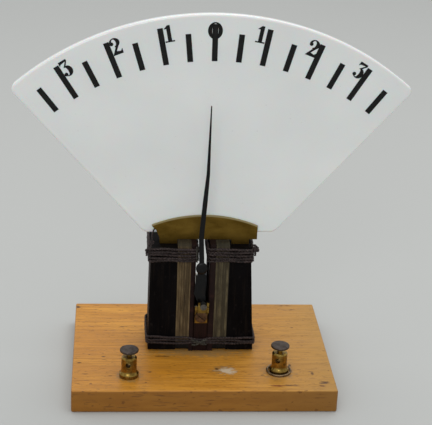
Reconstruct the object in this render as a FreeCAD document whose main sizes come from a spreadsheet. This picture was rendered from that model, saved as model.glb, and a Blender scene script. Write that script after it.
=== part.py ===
import FreeCAD, Part
import math
import os
import Sketcher

# Demonstration galvanometer: a wooden board carries a split coil with a swinging magnet, a long
# needle in front of it, a milk-glass scale held in brass above it, and two binding posts.
# Frame: origin at the middle of the board's underside, X to the right, Y to the back, Z up.

doc = FreeCAD.newDocument("galvanometer")
vector = FreeCAD.Vector

# Driving dimensions, in millimetres and degrees
SIZES = {
    # wooden base board
    "board_length": 140.0,
    "board_depth": 101.0,
    "board_thickness": 12.8,
    "board_round": 0.9,
    # clearances that the pieces share
    "loose_gap": 0.1,
    "screw_gap": 0.02,
    "running_gap": 0.05,
    "wire_gap": 0.45,
    # coil body, split by an upright slot
    "coil_middle": 5.5,
    "coil_depth": 25.0,
    "coil_top": 76.9,
    "cover_top": 74.4,
    "slot_middle": -0.7,
    "slot_width": 7.4,
    "cheek_left": 2.6,
    "cheek_right": 3.2,
    "bare_width": 7.4,
    "covered_left": 13.1,
    "covered_right": 10.0,
    "end_foot_left": 1.9,
    "end_foot_right": 4.9,
    "end_head_left": 1.3,
    "end_head_right": 1.3,
    "build_up": 6.0,
    "former_wall": 0.8,
    "cover_cloth": 0.6,
    # bare winding on show
    "wire_bore": 0.55,
    "wire_turns": 7,
    "wire_corner": 2.6,
    # lashing cords
    "lash_cord": 1.25,
    "lash_turns": 5,
    "lash_corner": 1.6,
    "top_lash_low": 66.7,
    "foot_lash_turns": 3,
    "foot_lash_low": 17.0,
    "knot_loop": 1.8,
    "knot_corner": 1.44,
    "knot_turns": 2,
    "knot_height": 73.2,
    "knot_setback": 1.6,
    # pivot, magnet and needle
    "pivot_height": 43.0,
    "axle_bore": 1.0,
    "axle_front_reach": 7.0,
    "axle_back_reach": 6.8,
    "journal_radius": 1.75,
    "journal_length": 3.6,
    "magnet_width": 4.4,
    "magnet_depth": 8.0,
    "magnet_length": 34.0,
    "magnet_clear": 1.4,
    "magnet_offset": 0.14,
    "needle_reach": 3.3,
    "needle_plate": 0.7,
    "needle_hub": 2.4,
    "needle_tip": 112.6,
    "needle_bow": 2.3,
    "boss_height": 20.9,
    "boss_width": 6.0,
    "boss_length": 7.2,
    "boss_depth": 2.4,
    # bearing blocks, brackets and their screws
    "block_depth": 4.5,
    "block_drop": 4.4,
    "bracket_plate": 1.1,
    "bracket_leg_width": 6.8,
    "bracket_foot_drop": 12.6,
    "bracket_shelf_drop": 2.7,
    "bracket_reach": 6.4,
    "bracket_lip_rise": 2.3,
    "front_lip_width": 5.9,
    "rear_lip_width": 4.4,
    "bracket_screw_drop": 8.4,
    "screw_head_radius": 3.3,
    "screw_head_height": 1.5,
    "screw_shank": 1.3,
    "screw_length": 3.6,
    "screw_slot": 0.9,
    "screw_slot_depth": 0.7,
    "screw_slot_angle": 40.0,
    # milk-glass scale
    "glass_front": 1.0,
    "glass_thickness": 4.0,
    "glass_radius": 157.7,
    "glass_shift": 3.1,
    "glass_turn": 0.59,
    "glass_half_angle": 41.05,
    "glass_side_offset": 2.5,
    "glass_seat": 3.6,
    "glass_foot_round": 6.0,
    "glass_head_round": 4.0,
    "glass_rim_round": 1.3,
    "mark_foot_in": 24.6,
    "mark_short_in": 9.9,
    "mark_long_in": 5.2,
    "mark_width": 2.9,
    "mark_step": 10.645,
    "ink": 0.1,
    "numeral_height": 10.0,
    "numeral_in": 9.3,
    "numeral_aside": 4.45,
    # brass holder of the glass
    "holder_plate": 1.0,
    "holder_blind": 0.7,
    "holder_middle": 0.1,
    "holder_half_width": 28.4,
    "holder_crown": 90.9,
    "holder_crown_radius": 72.0,
    "holder_foot_inner": 14.6,
    "holder_foot_outer": 24.1,
    "holder_side_foot": 77.2,
    "holder_corner_drop": 6.0,
    "holder_corner_in": 2.3,
    "holder_corner_foot": 82.2,
    "holder_screw_spread": 19.4,
    "holder_screw_radius": 1.0,
    "holder_head_radius": 2.0,
    "holder_head_height": 1.1,
    "holder_pin_radius": 0.9,
    "holder_pin_depth": 3.0,
    # binding posts
    "post_left_x": -39.9,
    "post_left_y": -34.3,
    "post_left_turn": 8.0,
    "post_right_x": 40.7,
    "post_right_y": -29.5,
    "post_right_turn": 20.0,
    "post_radius": 4.1,
    "post_height": 11.8,
    "post_shoulder": 0.8,
    "post_foot_radius": 5.2,
    "post_foot_height": 1.3,
    "post_flare": 2.8,
    "post_hole_radius": 1.35,
    "post_hole_height": 8.2,
    "stud_radius": 1.5,
    "stud_end": 0.4,
    "clamp_radius": 1.4,
    "clamp_rest": 9.7,
    "clamp_head_radius": 4.95,
    "clamp_head_height": 1.2,
    "clamp_head_round": 0.35,
    "clamp_neck_radius": 1.75,
    "clamp_neck": 3.0,
    "clamp_collar": 1.2,
    "clamp_collar_radius": 2.25,
    # fastening under the board
    "recess_radius": 5.2,
    "recess_ceiling": 4.6,
    "washer_radius": 3.6,
    "washer_plate": 0.6,
    "nut_flats": 5.5,
    "nut_height": 2.2,
    "groove_width": 2.4,
    "lead_radius": 0.6,
    "lead_left_x": -20.0,
    "lead_right_x": 19.0,
    "lead_y": 3.0,
    "lead_hole_radius": 1.6,
    "lead_bend": 1.8,
    "coil_screw_radius": 1.5,
    "coil_screw_head": 3.2,
    "coil_screw_countersink": 2.4,
    "coil_screw_top": 26.0,
    # bare wire hoop round the right post's foot
    "hoop_radius": 6.3,
    "hoop_wire": 0.6,
    "hoop_start": 75.0,
    "hoop_sweep": 300.0,
    "hoop_tail": 4.0,
}

sheet = doc.addObject("Spreadsheet::Sheet", "size")
for row, (alias, amount) in enumerate(SIZES.items(), start=1):
    sheet.set(f"A{row}", alias)
    sheet.set(f"B{row}", str(amount))
    sheet.setAlias(f"B{row}", alias)
doc.recompute()

AXES = {
    "Y": FreeCAD.Rotation(vector(1, 0, 0), -90),
    "Z": FreeCAD.Rotation(),
}
pieces = {}


def mm(alias):
    """A driving dimension as a plain number, for the shapes that a formula makes."""
    return float(sheet.get(alias))


def bind(thing, **sizes):
    """Tie properties of a thing to expressions over the driving dimensions."""
    for name, expression in sizes.items():
        thing.setExpression(name.replace("__", "."), expression)
    return thing


def seat(thing, x, y, z, turn=None):
    """Place a thing by three expressions, turned first where it needs it."""
    if turn is not None:
        thing.Placement = FreeCAD.Placement(vector(), turn)
    return bind(thing, Placement__Base__x=x, Placement__Base__y=y, Placement__Base__z=z)


def block(name, length, width, height, x, y, z):
    """A box from its three edges and its low corner."""
    box = doc.addObject("Part::Box", name)
    bind(box, Length=length, Width=width, Height=height)
    return seat(box, x, y, z)


def rod(name, radius, height, x, y, z, axis="Z"):
    """A round bar from the middle of its starting face."""
    bar = doc.addObject("Part::Cylinder", name)
    bind(bar, Radius=radius, Height=height)
    return seat(bar, x, y, z, AXES[axis])


def taper(name, start_radius, end_radius, height, x, y, z, axis="Z"):
    """A cone frustum from the middle of its starting face."""
    cone = doc.addObject("Part::Cone", name)
    bind(cone, Radius1=start_radius, Radius2=end_radius, Height=height)
    return seat(cone, x, y, z, AXES[axis])


def join(name, *shapes):
    """Several shapes as one."""
    fused = doc.addObject("Part::MultiFuse", name)
    fused.Shapes = list(shapes)
    return fused


def shared(name, *shapes):
    """What several shapes have in common."""
    common = doc.addObject("Part::MultiCommon", name)
    common.Shapes = list(shapes)
    return common


def carve(name, base, *tools):
    """A shape with others taken out of it."""
    cut = doc.addObject("Part::Cut", name)
    cut.Base = base
    cut.Tool = tools[0] if len(tools) == 1 else join(f"{name}_tools", *tools)
    return cut


def piece(label, thing):
    """Enter a finished thing as a separate piece of the object."""
    thing.Label = label
    pieces[label] = thing
    return thing


def plane_of(body, role):
    """One of a body's own origin planes."""
    return next(part for part in body.Origin.OriginFeatures if part.Role == role)


def outline(sketch, corners):
    """A closed loop of straight edges, each corner tied to two expressions."""
    count = len(corners)
    guesses = [
        vector(20 * math.cos(2 * math.pi * k / count), 20 * math.sin(2 * math.pi * k / count), 0)
        for k in range(count)
    ]
    for k in range(count):
        sketch.addGeometry(Part.LineSegment(guesses[k], guesses[(k + 1) % count]), False)
    for k in range(count):
        sketch.addConstraint(Sketcher.Constraint("Coincident", k, 2, (k + 1) % count, 1))
    for k, (across, up) in enumerate(corners):
        for kind, expression in (("DistanceX", across), ("DistanceY", up)):
            number = sketch.addConstraint(Sketcher.Constraint(kind, -1, 1, k, 1, 1.0))
            sketch.setExpression(f"Constraints[{number}]", expression)


def plate(name, corners, front, thickness):
    """An upright plate from its outline in X and Z; it grows from the front to the back."""
    body = doc.addObject("PartDesign::Body", name)
    sketch = body.newObject("Sketcher::SketchObject", f"{name}_outline")
    sketch.AttachmentSupport = (plane_of(body, "XZ_Plane"), [""])
    sketch.MapMode = "FlatFace"
    bind(sketch, AttachmentOffset__Base__z=f"-({front})")
    outline(sketch, corners)
    pad = body.newObject("PartDesign::Pad", f"{name}_pad")
    pad.Profile = sketch
    pad.Reversed = True
    bind(pad, Length=thickness)
    body.Tip = pad
    return body


def soften(body, edge_round, chosen):
    """Round the edges of a body's last feature that a test picks."""
    doc.recompute()
    base = body.Tip
    edges = [
        f"Edge{number}"
        for number, edge in enumerate(base.Shape.Edges, start=1)
        if chosen(edge)
    ]
    fillet = body.newObject("PartDesign::Fillet", f"{body.Name}_rounds")
    fillet.Base = (base, edges)
    bind(fillet, Radius=edge_round)
    body.Tip = fillet
    return body


def rounded(name, radius, height, edge_round, x, y, z, axis="Z"):
    """A round bar with both of its rims rounded."""
    body = doc.addObject("PartDesign::Body", name)
    bar = body.newObject("PartDesign::AdditiveCylinder", f"{name}_bar")
    bind(bar, Radius=radius, Height=height)
    body.Tip = bar
    soften(body, edge_round, lambda edge: edge.Closed)
    return seat(body, x, y, z, AXES[axis])


def eased_block(name, length, width, height, x, y, z, edge_round, chosen):
    """A box from its three edges and its low corner, with the edges that a test picks rounded."""
    body = doc.addObject("PartDesign::Body", name)
    box = body.newObject("PartDesign::AdditiveBox", f"{name}_box")
    bind(box, Length=length, Width=width, Height=height)
    body.Tip = box
    soften(body, edge_round, chosen)
    return seat(body, x, y, z)


def two_arcs(start, heading, end, arrival):
    """Two arcs that leave one point along a heading and reach another along an arrival."""
    chord = end - start
    both = heading + arrival
    bend = 2 * (1 - heading.dot(arrival))
    along = chord.dot(both)
    reach = (-along + math.sqrt(along**2 + bend * chord.dot(chord))) / bend
    near = start + heading * reach
    far = end - arrival * reach
    middle = (near + far) * 0.5
    return [one_arc(start, near, middle), one_arc(middle, far, end)]


def one_arc(start, corner, end):
    """An arc that touches the two lines from its corner to its ends."""
    chord_middle = (start + end) * 0.5
    half_chord = (end - start).Length / 2
    outward = corner - chord_middle
    quarter = math.atan(outward.Length / half_chord) / 2
    crest = chord_middle + outward.normalize() * (half_chord * math.tan(quarter))
    return Part.Arc(start, crest, end).toShape()


def tube(path, radius):
    """A round wire along a path of lines and arcs."""
    first = path.OrderedEdges[0]
    start = first.valueAt(first.FirstParameter)
    section = Part.Wire(Part.Circle(start, first.tangentAt(first.FirstParameter), radius).toShape())
    sweep = Part.BRepOffsetAPI.MakePipeShell(path)
    sweep.add(section)
    sweep.build()
    sweep.makeSolid()
    return sweep.shape()


def least_gap(path, radius, turn_length):
    """The least clear distance between the turns of a wire, from points along it."""
    step = turn_length / 160
    points = path.discretize(Distance=step)
    apart = int(0.5 * turn_length / step)
    nearest = min(
        (points[a] - points[b]).Length
        for a in range(0, len(points), 2)
        for b in range(a + apart, min(a + 3 * apart, len(points)))
    )
    return nearest - 2 * radius


def wound_path(place, half_across, half_up, corner, rise, turns):
    """Turns round a rounded rectangle that climb at a steady rate; place puts a point of it."""
    across = half_across - corner
    up = half_up - corner
    bend = math.pi / 2 * corner
    runs = [2 * up, 2 * across, 2 * up, 2 * across]
    perimeter = sum(runs) + 4 * bend
    starts = [
        (half_across, -up),
        (across, half_up),
        (-half_across, up),
        (-across, -half_up),
    ]
    ways = [(0, 1), (-1, 0), (0, -1), (1, 0)]
    sides = []
    travelled = 0.0
    for number in range(4 * turns):
        u, v = starts[number % 4]
        way_u, way_v = ways[number % 4]
        run = runs[number % 4]
        low = rise * travelled / perimeter
        high = rise * (travelled + run) / perimeter
        sides.append((place(u, v, low), place(u + way_u * run, v + way_v * run, high)))
        travelled += run + bend
    edges = []
    for number, (start, end) in enumerate(sides):
        edges.append(Part.LineSegment(start, end).toShape())
        if number + 1 < len(sides):
            after, beyond = sides[number + 1]
            heading = (end - start).normalize()
            arrival = (beyond - after).normalize()
            edges.extend(two_arcs(end, heading, after, arrival))
    return Part.Wire(edges), perimeter


def wound(label, path, turn_length, radius):
    """A wire wound along a path, as one piece, with its own least gap printed."""
    gap = least_gap(path, radius, turn_length)
    print(f"{label}: least gap between turns {gap:.2f} mm")
    thing = doc.addObject("Part::Feature", label)
    thing.Shape = tube(path, radius)
    return piece(label, thing)


def outward(side, distance):
    """The X that lies so far out from the slot's middle on one side."""
    sign = "+" if side == "right" else "-"
    return f"size.slot_middle {sign} ({distance})"


def mirrored_span(side, inner, outer):
    """The low X of a stretch that lies so far out from the slot's middle, and its length."""
    return outward(side, inner if side == "right" else outer), f"({outer}) - ({inner})"


COIL_FRONT = "(size.coil_middle - size.coil_depth / 2)"
COIL_BACK = "(size.coil_middle + size.coil_depth / 2)"
AXLE_FRONT = "(size.coil_middle - size.coil_depth / 2 - size.axle_front_reach)"
AXLE_BACK = "(size.coil_middle + size.coil_depth / 2 + size.axle_back_reach)"
NEEDLE_FRONT = "(size.coil_middle - size.coil_depth / 2 - size.needle_reach)"
GLASS_FOOT = "(size.coil_top + size.glass_seat - size.pivot_height)"
MARK_FOOT = "(size.glass_radius - size.mark_foot_in)"
MARK_SHORT = "(size.glass_radius - size.mark_short_in)"
MARK_LONG = "(size.glass_radius - size.mark_long_in)"
BLOCK_TOP = "(size.pivot_height - size.block_drop)"
BRACKET_FOOT = "(size.pivot_height - size.bracket_foot_drop)"
BRACKET_SHELF = "(size.pivot_height - size.bracket_shelf_drop)"
BRACKET_LIP = "(size.pivot_height + size.bracket_lip_rise)"
BRACKET_SCREW = "(size.pivot_height - size.bracket_screw_drop)"
WALL = "size.slot_width / 2"
CORD_BEND = "size.lash_corner - size.lash_cord / 2 - size.loose_gap"
WIRE_BEND = "size.wire_corner - size.wire_bore / 2 - size.screw_gap"


def make_board():
    """The board, with recesses, lead grooves and screw holes below."""
    plank = eased_block(
        "plank",
        "size.board_length",
        "size.board_depth",
        "size.board_thickness",
        "-size.board_length / 2",
        "-size.board_depth / 2",
        "0",
        "size.board_round",
        lambda edge: True,
    )
    through = "size.board_thickness"
    stud_bore = "size.stud_radius + size.screw_gap"
    screw_bore = "size.coil_screw_radius + size.screw_gap"
    screw_mouth = "size.coil_screw_head + size.screw_gap"
    screw_sink = "size.coil_screw_countersink"
    middle = "size.slot_middle"
    tools = []
    for side in ("left", "right"):
        x = f"size.post_{side}_x"
        y = f"size.post_{side}_y"
        tools.append(rod(f"{side}_stud_hole", stud_bore, through, x, y, "0"))
        tools.append(rod(f"{side}_recess", "size.recess_radius", "size.recess_ceiling", x, y, "0"))
        tools += make_lead_way(side)
    for place in ("front", "rear"):
        y = block_middle(place)
        tools.append(rod(f"{place}_coil_screw_hole", screw_bore, through, middle, y, "0"))
        tools.append(taper(f"{place}_countersink", screw_mouth, screw_bore, screw_sink, middle, y, "0"))
    piece("base_board", carve("board", plank, *tools))


def lead_line(side):
    """A lead's level run past its stud to its hole: start, end and heading."""
    stud = vector(mm(f"post_{side}_x"), mm(f"post_{side}_y"), 0)
    hole = vector(mm(f"lead_{side}_x"), mm("lead_y"), 0)
    heading = (hole - stud).normalize()
    beside = vector(-heading.y, heading.x, 0) * (mm("stud_radius") + mm("lead_radius") + mm("loose_gap"))
    return stud + beside, hole + beside, heading


def make_lead_way(side):
    """The groove that a lead lies in and the hole that it climbs through."""
    start, end, heading = lead_line(side)
    turn = FreeCAD.Rotation(vector(0, 0, 1), math.degrees(math.atan2(heading.y, heading.x)))
    groove = doc.addObject("Part::Box", f"{side}_groove")
    bind(groove, Width="size.groove_width", Height="size.recess_ceiling")
    groove.Length = (end - start).Length
    low = start - turn.multVec(vector(0, mm("groove_width") / 2, 0))
    groove.Placement = FreeCAD.Placement(low, turn)
    hole = doc.addObject("Part::Cylinder", f"{side}_lead_hole")
    bind(hole, Radius="size.lead_hole_radius", Height="size.board_thickness")
    hole.Placement = FreeCAD.Placement(end, FreeCAD.Rotation())
    return [groove, hole]


def block_middle(place):
    """The Y of a bearing block's middle."""
    if place == "front":
        return f"{COIL_FRONT} + size.loose_gap + size.block_depth / 2"
    return f"{COIL_BACK} - size.loose_gap - size.block_depth / 2"


def make_leads():
    """The leads under the board, each from its post's stud up to its half of the coil."""
    for side in ("left", "right"):
        start, end, heading = lead_line(side)
        level = vector(0, 0, mm("recess_ceiling") - mm("lead_radius") - mm("loose_gap"))
        bend = mm("lead_bend")
        before = end + level - heading * bend
        corner = end + level
        after = corner + vector(0, 0, bend)
        top = vector(end.x, end.y, mm("board_thickness"))
        first = start + level - heading * (mm("washer_radius") * 0.5)
        path = Part.Wire(
            [
                Part.LineSegment(first, before).toShape(),
                one_arc(before, corner, after),
                Part.LineSegment(after, top).toShape(),
            ]
        )
        lead = doc.addObject("Part::Feature", f"lead_{side}")
        lead.Shape = tube(path, mm("lead_radius"))
        piece(f"lead_{side}", lead)


def make_post(side):
    """A turned binding post: flared foot, cross hole for a wire and a bore for its screw."""
    x = f"size.post_{side}_x"
    y = f"size.post_{side}_y"
    top = "size.board_thickness"
    foot_top = f"{top} + size.post_foot_height"
    foot = rod(f"{side}_post_foot", "size.post_foot_radius", "size.post_foot_height", x, y, top)
    flare_blank = rod(f"{side}_flare_blank", "size.post_foot_radius", "size.post_flare", x, y, foot_top)
    hollow = doc.addObject("Part::Torus", f"{side}_flare_hollow")
    bind(hollow, Radius1="size.post_radius + size.post_flare", Radius2="size.post_flare")
    seat(hollow, x, y, f"{foot_top} + size.post_flare")
    flare = carve(f"{side}_flare", flare_blank, hollow)
    barrel = rod(
        f"{side}_barrel", "size.post_radius", "size.post_height - size.post_shoulder", x, y, top
    )
    shoulder = taper(
        f"{side}_shoulder",
        "size.post_radius",
        "size.post_radius - size.post_shoulder",
        "size.post_shoulder",
        x,
        y,
        f"{top} + size.post_height - size.post_shoulder",
    )
    stud = rod(f"{side}_stud", "size.stud_radius", f"{top} - size.stud_end", x, y, "size.stud_end")
    solid = join(f"{side}_post_solid", foot, flare, barrel, shoulder, stud)
    cross = rod(
        f"{side}_cross_hole",
        "size.post_hole_radius",
        "3 * size.post_radius",
        x,
        y,
        f"{top} + size.post_hole_height",
        "Y",
    )
    turn = FreeCAD.Rotation(vector(0, 0, 1), -mm(f"post_{side}_turn"))
    cross.Placement.Rotation = turn.multiply(AXES["Y"])
    back = turn.multVec(vector(0, -1, 0))
    bind(
        cross,
        Placement__Base__x=f"{x} + ({back.x}) * 1.5 * size.post_radius",
        Placement__Base__y=f"{y} + ({back.y}) * 1.5 * size.post_radius",
    )
    bore_foot = "size.post_hole_height - size.post_hole_radius - size.loose_gap"
    bore = rod(
        f"{side}_screw_bore",
        "size.clamp_radius + size.running_gap",
        f"size.post_height - ({bore_foot})",
        x,
        y,
        f"{top} + {bore_foot}",
    )
    piece(f"post_{side}", carve(f"{side}_post_bored", solid, cross, bore))
    rest = f"{top} + size.clamp_rest"
    head_foot = f"{top} + size.post_height + size.clamp_neck"
    shank = rod(
        f"{side}_clamp_shank",
        "size.clamp_radius",
        "size.post_height + size.clamp_neck - size.clamp_rest",
        x,
        y,
        rest,
    )
    piece(f"clamp_screw_{side}", shank)
    disc = rounded(
        f"{side}_clamp_disc",
        "size.clamp_head_radius",
        "size.clamp_head_height",
        "size.clamp_head_round",
        x,
        y,
        head_foot,
    )
    collar = taper(
        f"{side}_clamp_collar",
        "size.clamp_neck_radius",
        "size.clamp_collar_radius",
        "size.clamp_collar",
        x,
        y,
        f"{head_foot} - size.clamp_collar",
    )
    eye = rod(
        f"{side}_clamp_eye",
        "size.clamp_radius + size.screw_gap",
        "size.clamp_neck",
        x,
        y,
        f"{head_foot} - size.clamp_neck",
    )
    piece(f"clamp_head_{side}", carve(f"{side}_clamp_head", join(f"{side}_clamp_knob", disc, collar), eye))


def make_post_fixings():
    """A washer and a hexagon nut on each post's stud, under the board."""
    washers = []
    nuts = []
    across_corners = mm("nut_flats") / math.sqrt(3)
    for side in ("left", "right"):
        x = f"size.post_{side}_x"
        y = f"size.post_{side}_y"
        washer_top = "size.recess_ceiling - size.loose_gap - 2 * size.lead_radius"
        washer_foot = f"{washer_top} - size.washer_plate"
        nut_foot = f"{washer_foot} - size.nut_height"
        bore = "size.stud_radius + size.screw_gap"
        disc = rod(f"{side}_washer_disc", "size.washer_radius", "size.washer_plate", x, y, washer_foot)
        eye = rod(f"{side}_washer_eye", bore, "size.washer_plate", x, y, washer_foot)
        washers.append(carve(f"{side}_washer", disc, eye))
        blank = doc.addObject("Part::Prism", f"{side}_nut_blank")
        blank.Polygon = 6
        blank.Circumradius = across_corners
        bind(blank, Height="size.nut_height")
        seat(blank, x, y, nut_foot)
        thread = rod(f"{side}_nut_thread", bore, "size.nut_height", x, y, nut_foot)
        nuts.append(carve(f"{side}_nut", blank, thread))
    for label, members in (("post_washers", washers), ("post_nuts", nuts)):
        group = doc.addObject("Part::Compound", label)
        group.Links = members
        piece(label, group)


def make_hoop():
    """A bare wire hoop with a tail, lying round the right post's foot."""
    post = vector(mm("post_right_x"), mm("post_right_y"), mm("board_thickness") + mm("hoop_wire"))
    radius = mm("hoop_radius")
    sweep = math.radians(mm("hoop_sweep"))
    first = math.radians(mm("hoop_start"))

    def on_ring(share):
        angle = first + sweep * share
        return post + vector(radius * math.cos(angle), radius * math.sin(angle), 0)

    ring_end = on_ring(1)
    last = first + sweep
    heading = vector(-math.sin(last), math.cos(last), 0)
    away = vector(math.cos(last), math.sin(last), 0)
    half_tail = mm("hoop_tail") / 2
    curl = ring_end + heading * half_tail
    tail = curl + (heading + away).normalize() * half_tail
    path = Part.Wire(
        [
            Part.Arc(on_ring(0), on_ring(0.25), on_ring(0.5)).toShape(),
            Part.Arc(on_ring(0.5), on_ring(0.75), ring_end).toShape(),
            one_arc(ring_end, curl, tail),
        ]
    )
    hoop = doc.addObject("Part::Feature", "wire_hoop")
    hoop.Shape = tube(path, mm("hoop_wire"))
    piece("wire_hoop", hoop)


def make_coil_half(side):
    """One half of the coil: former, bare winding on its core, covered winding, cover and end."""
    cheek = f"size.cheek_{side}"
    bare_start = f"{WALL} + {cheek}"
    bare_end = f"{bare_start} + size.bare_width"
    covered_end = f"{bare_end} + size.covered_{side}"
    foot = "size.board_thickness"
    height = f"size.coil_top - {foot}"
    tube_front = f"{COIL_FRONT} + size.build_up"
    tube_depth = "size.coil_depth - 2 * size.build_up"
    tube_foot = f"{foot} + size.build_up"
    tube_height = f"{height} - 2 * size.build_up"
    wall = "size.former_wall"
    skin = "size.wire_bore + size.screw_gap"
    cloth = "size.cover_cloth"

    low, length = mirrored_span(side, WALL, bare_start)
    slot_edge = 0.0 if side == "right" else mm(f"cheek_{side}")

    def beside_slot(edge):
        box = edge.BoundBox
        return box.ZLength > mm("coil_depth") and abs(box.Center.x - slot_edge) < mm("loose_gap")

    flange = eased_block(
        f"{side}_flange", length, "size.coil_depth", height, low, COIL_FRONT, foot, CORD_BEND, beside_slot
    )
    low, length = mirrored_span(side, WALL, covered_end)
    barrel = block(f"{side}_former_tube", length, tube_depth, tube_height, low, tube_front, tube_foot)
    hollow = block(
        f"{side}_hollow",
        length,
        f"{tube_depth} - 2 * {wall}",
        f"{tube_height} - 2 * {wall}",
        low,
        f"{tube_front} + {wall}",
        f"{tube_foot} + {wall}",
    )
    former = carve(f"{side}_former", join(f"{side}_former_solid", flange, barrel), hollow)
    piece(f"coil_former_{side}", former)

    low, length = mirrored_span(side, bare_start, bare_end)
    core = eased_block(
        f"{side}_core_block",
        length,
        f"size.coil_depth - 2 * ({skin})",
        f"{height} - 2 * ({skin}) - size.loose_gap",
        low,
        f"{COIL_FRONT} + {skin}",
        f"{foot} + {skin} + size.loose_gap",
        WIRE_BEND,
        lambda edge: edge.BoundBox.XLength > mm("loose_gap"),
    )
    way = block(f"{side}_core_way", length, tube_depth, tube_height, low, tube_front, tube_foot)
    piece(f"winding_core_{side}", carve(f"{side}_core", core, way))

    low, length = mirrored_span(side, bare_end, covered_end)
    body_height = f"size.cover_top - {foot} - 2 * {cloth}"
    turns = block(
        f"{side}_covered_block",
        length,
        f"size.coil_depth - 2 * {cloth}",
        body_height,
        low,
        f"{COIL_FRONT} + {cloth}",
        f"{foot} + {cloth}",
    )
    way = block(f"{side}_covered_way", length, tube_depth, tube_height, low, tube_front, tube_foot)
    piece(f"covered_winding_{side}", carve(f"{side}_covered", turns, way, pin_room(side, "winding")))
    make_end_and_cover(side, bare_end, covered_end)
    make_bare_winding(side)


def make_end_and_cover(side, bare_end, covered_end):
    """The leaning end cheek and the cloth sleeve round the covered winding."""
    foot = "size.board_thickness"
    height = f"size.cover_top - {foot}"
    cloth = "size.cover_cloth"
    near = outward(side, bare_end)
    foot_end = outward(side, f"{covered_end} + size.end_foot_{side}")
    head_end = outward(side, f"{covered_end} + size.end_head_{side}")
    corners = [(near, foot), (foot_end, foot), (head_end, "size.cover_top"), (near, "size.cover_top")]
    near_reach = mm("slot_width") / 2 + mm(f"cheek_{side}") + mm("bare_width") + mm("cover_cloth")

    def at_outer_end(edge):
        box = edge.BoundBox
        return box.ZLength > mm("coil_depth") and abs(box.Center.x - mm("slot_middle")) > near_reach

    sleeve = soften(
        plate(f"{side}_sleeve", corners, COIL_FRONT, "size.coil_depth"), CORD_BEND, at_outer_end
    )
    reach = f"{covered_end} + size.end_foot_{side} + size.end_head_{side}"
    low, length = mirrored_span(side, bare_end, reach)
    room = block(
        f"{side}_sleeve_room",
        length,
        f"size.coil_depth - 2 * {cloth}",
        f"{height} - 2 * {cloth}",
        low,
        f"{COIL_FRONT} + {cloth}",
        f"{foot} + {cloth}",
    )
    piece(f"coil_cover_{side}", carve(f"{side}_cover", sleeve, room, pin_room(side, "cover")))
    low, length = mirrored_span(side, covered_end, reach)
    blank = block(
        f"{side}_end_blank",
        length,
        f"size.coil_depth - 2 * {cloth}",
        f"{height} - 2 * {cloth}",
        low,
        f"{COIL_FRONT} + {cloth}",
        f"{foot} + {cloth}",
    )
    lean = soften(
        plate(f"{side}_end_lean", corners, COIL_FRONT, "size.coil_depth"), CORD_BEND, at_outer_end
    )
    piece(f"coil_end_{side}", shared(f"{side}_end", blank, lean))


def pin_room(side, use):
    """The space that a holder pin takes in the coil, and the pin's own form."""
    sign = "+" if side == "right" else "-"
    return rod(
        f"{side}_pin_{use}",
        "size.holder_pin_radius",
        "size.holder_pin_depth",
        f"size.holder_middle {sign} size.holder_screw_spread",
        "size.glass_front + size.glass_thickness / 2",
        "size.cover_top - size.holder_pin_depth",
    )


def make_bare_winding(side):
    """The outer turns of the bare winding, as one wire round the coil."""
    radius = mm("wire_bore") / 2
    pitch = mm("wire_bore") + mm("wire_gap")
    turns = int(mm("wire_turns"))
    hand = 1 if side == "right" else -1
    strip = mm("slot_width") / 2 + mm(f"cheek_{side}") + mm("bare_width") / 2
    middle_x = mm("slot_middle") + hand * strip
    first_x = middle_x - pitch * turns / 2
    foot = mm("board_thickness") + mm("loose_gap")
    middle_z = (foot + mm("coil_top")) / 2

    def place(u, v, climb):
        return vector(first_x + climb, mm("coil_middle") + u, middle_z + v)

    half_across = mm("coil_depth") / 2 - radius
    half_up = (mm("coil_top") - foot) / 2 - radius
    path, turn_length = wound_path(place, half_across, half_up, mm("wire_corner"), pitch, turns)
    wound(f"bare_winding_{side}", path, turn_length, radius)


def make_lashings():
    """Cords round the head of each half of the coil, and one round the foot of both."""
    radius = mm("lash_cord") / 2
    pitch = mm("lash_cord") + mm("wire_gap")
    clear = radius + mm("loose_gap")
    half_across = mm("coil_depth") / 2 + clear
    wall = mm("slot_width") / 2
    corner = mm("lash_corner")
    reach = {}
    for side in ("left", "right"):
        stack = wall + mm(f"cheek_{side}") + mm("bare_width") + mm(f"covered_{side}")
        lean = mm(f"end_foot_{side}") - mm(f"end_head_{side}")
        rise = mm("cover_top") - mm("board_thickness")
        reach[side] = (stack, lean / rise, mm(f"end_foot_{side}"))

    def end_at(side, height):
        stack, slope, foot = reach[side]
        return stack + foot - slope * (height - mm("board_thickness"))

    for side, hand in (("left", -1), ("right", 1)):
        outer = end_at(side, mm("top_lash_low")) + clear
        inner = wall - clear
        middle_x = mm("slot_middle") + hand * (outer + inner) / 2
        half_up = (outer - inner) / 2

        def place(u, v, climb, middle_x=middle_x):
            return vector(middle_x + v, mm("coil_middle") + u, mm("top_lash_low") + climb)

        path, turn = wound_path(place, half_across, half_up, corner, pitch, int(mm("lash_turns")))
        wound(f"top_lashing_{side}", path, turn, radius)
    left = mm("slot_middle") - end_at("left", mm("foot_lash_low")) - clear
    right = mm("slot_middle") + end_at("right", mm("foot_lash_low")) + clear

    def place_foot(u, v, climb):
        return vector((left + right) / 2 + v, mm("coil_middle") + u, mm("foot_lash_low") + climb)

    half_up = (right - left) / 2
    path, turn = wound_path(place_foot, half_across, half_up, corner, pitch, int(mm("foot_lash_turns")))
    wound("foot_lashing", path, turn, radius)
    for side, hand in (("left", -1), ("right", 1)):
        make_knot(side, hand, end_at(side, mm("top_lash_low")))


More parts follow.
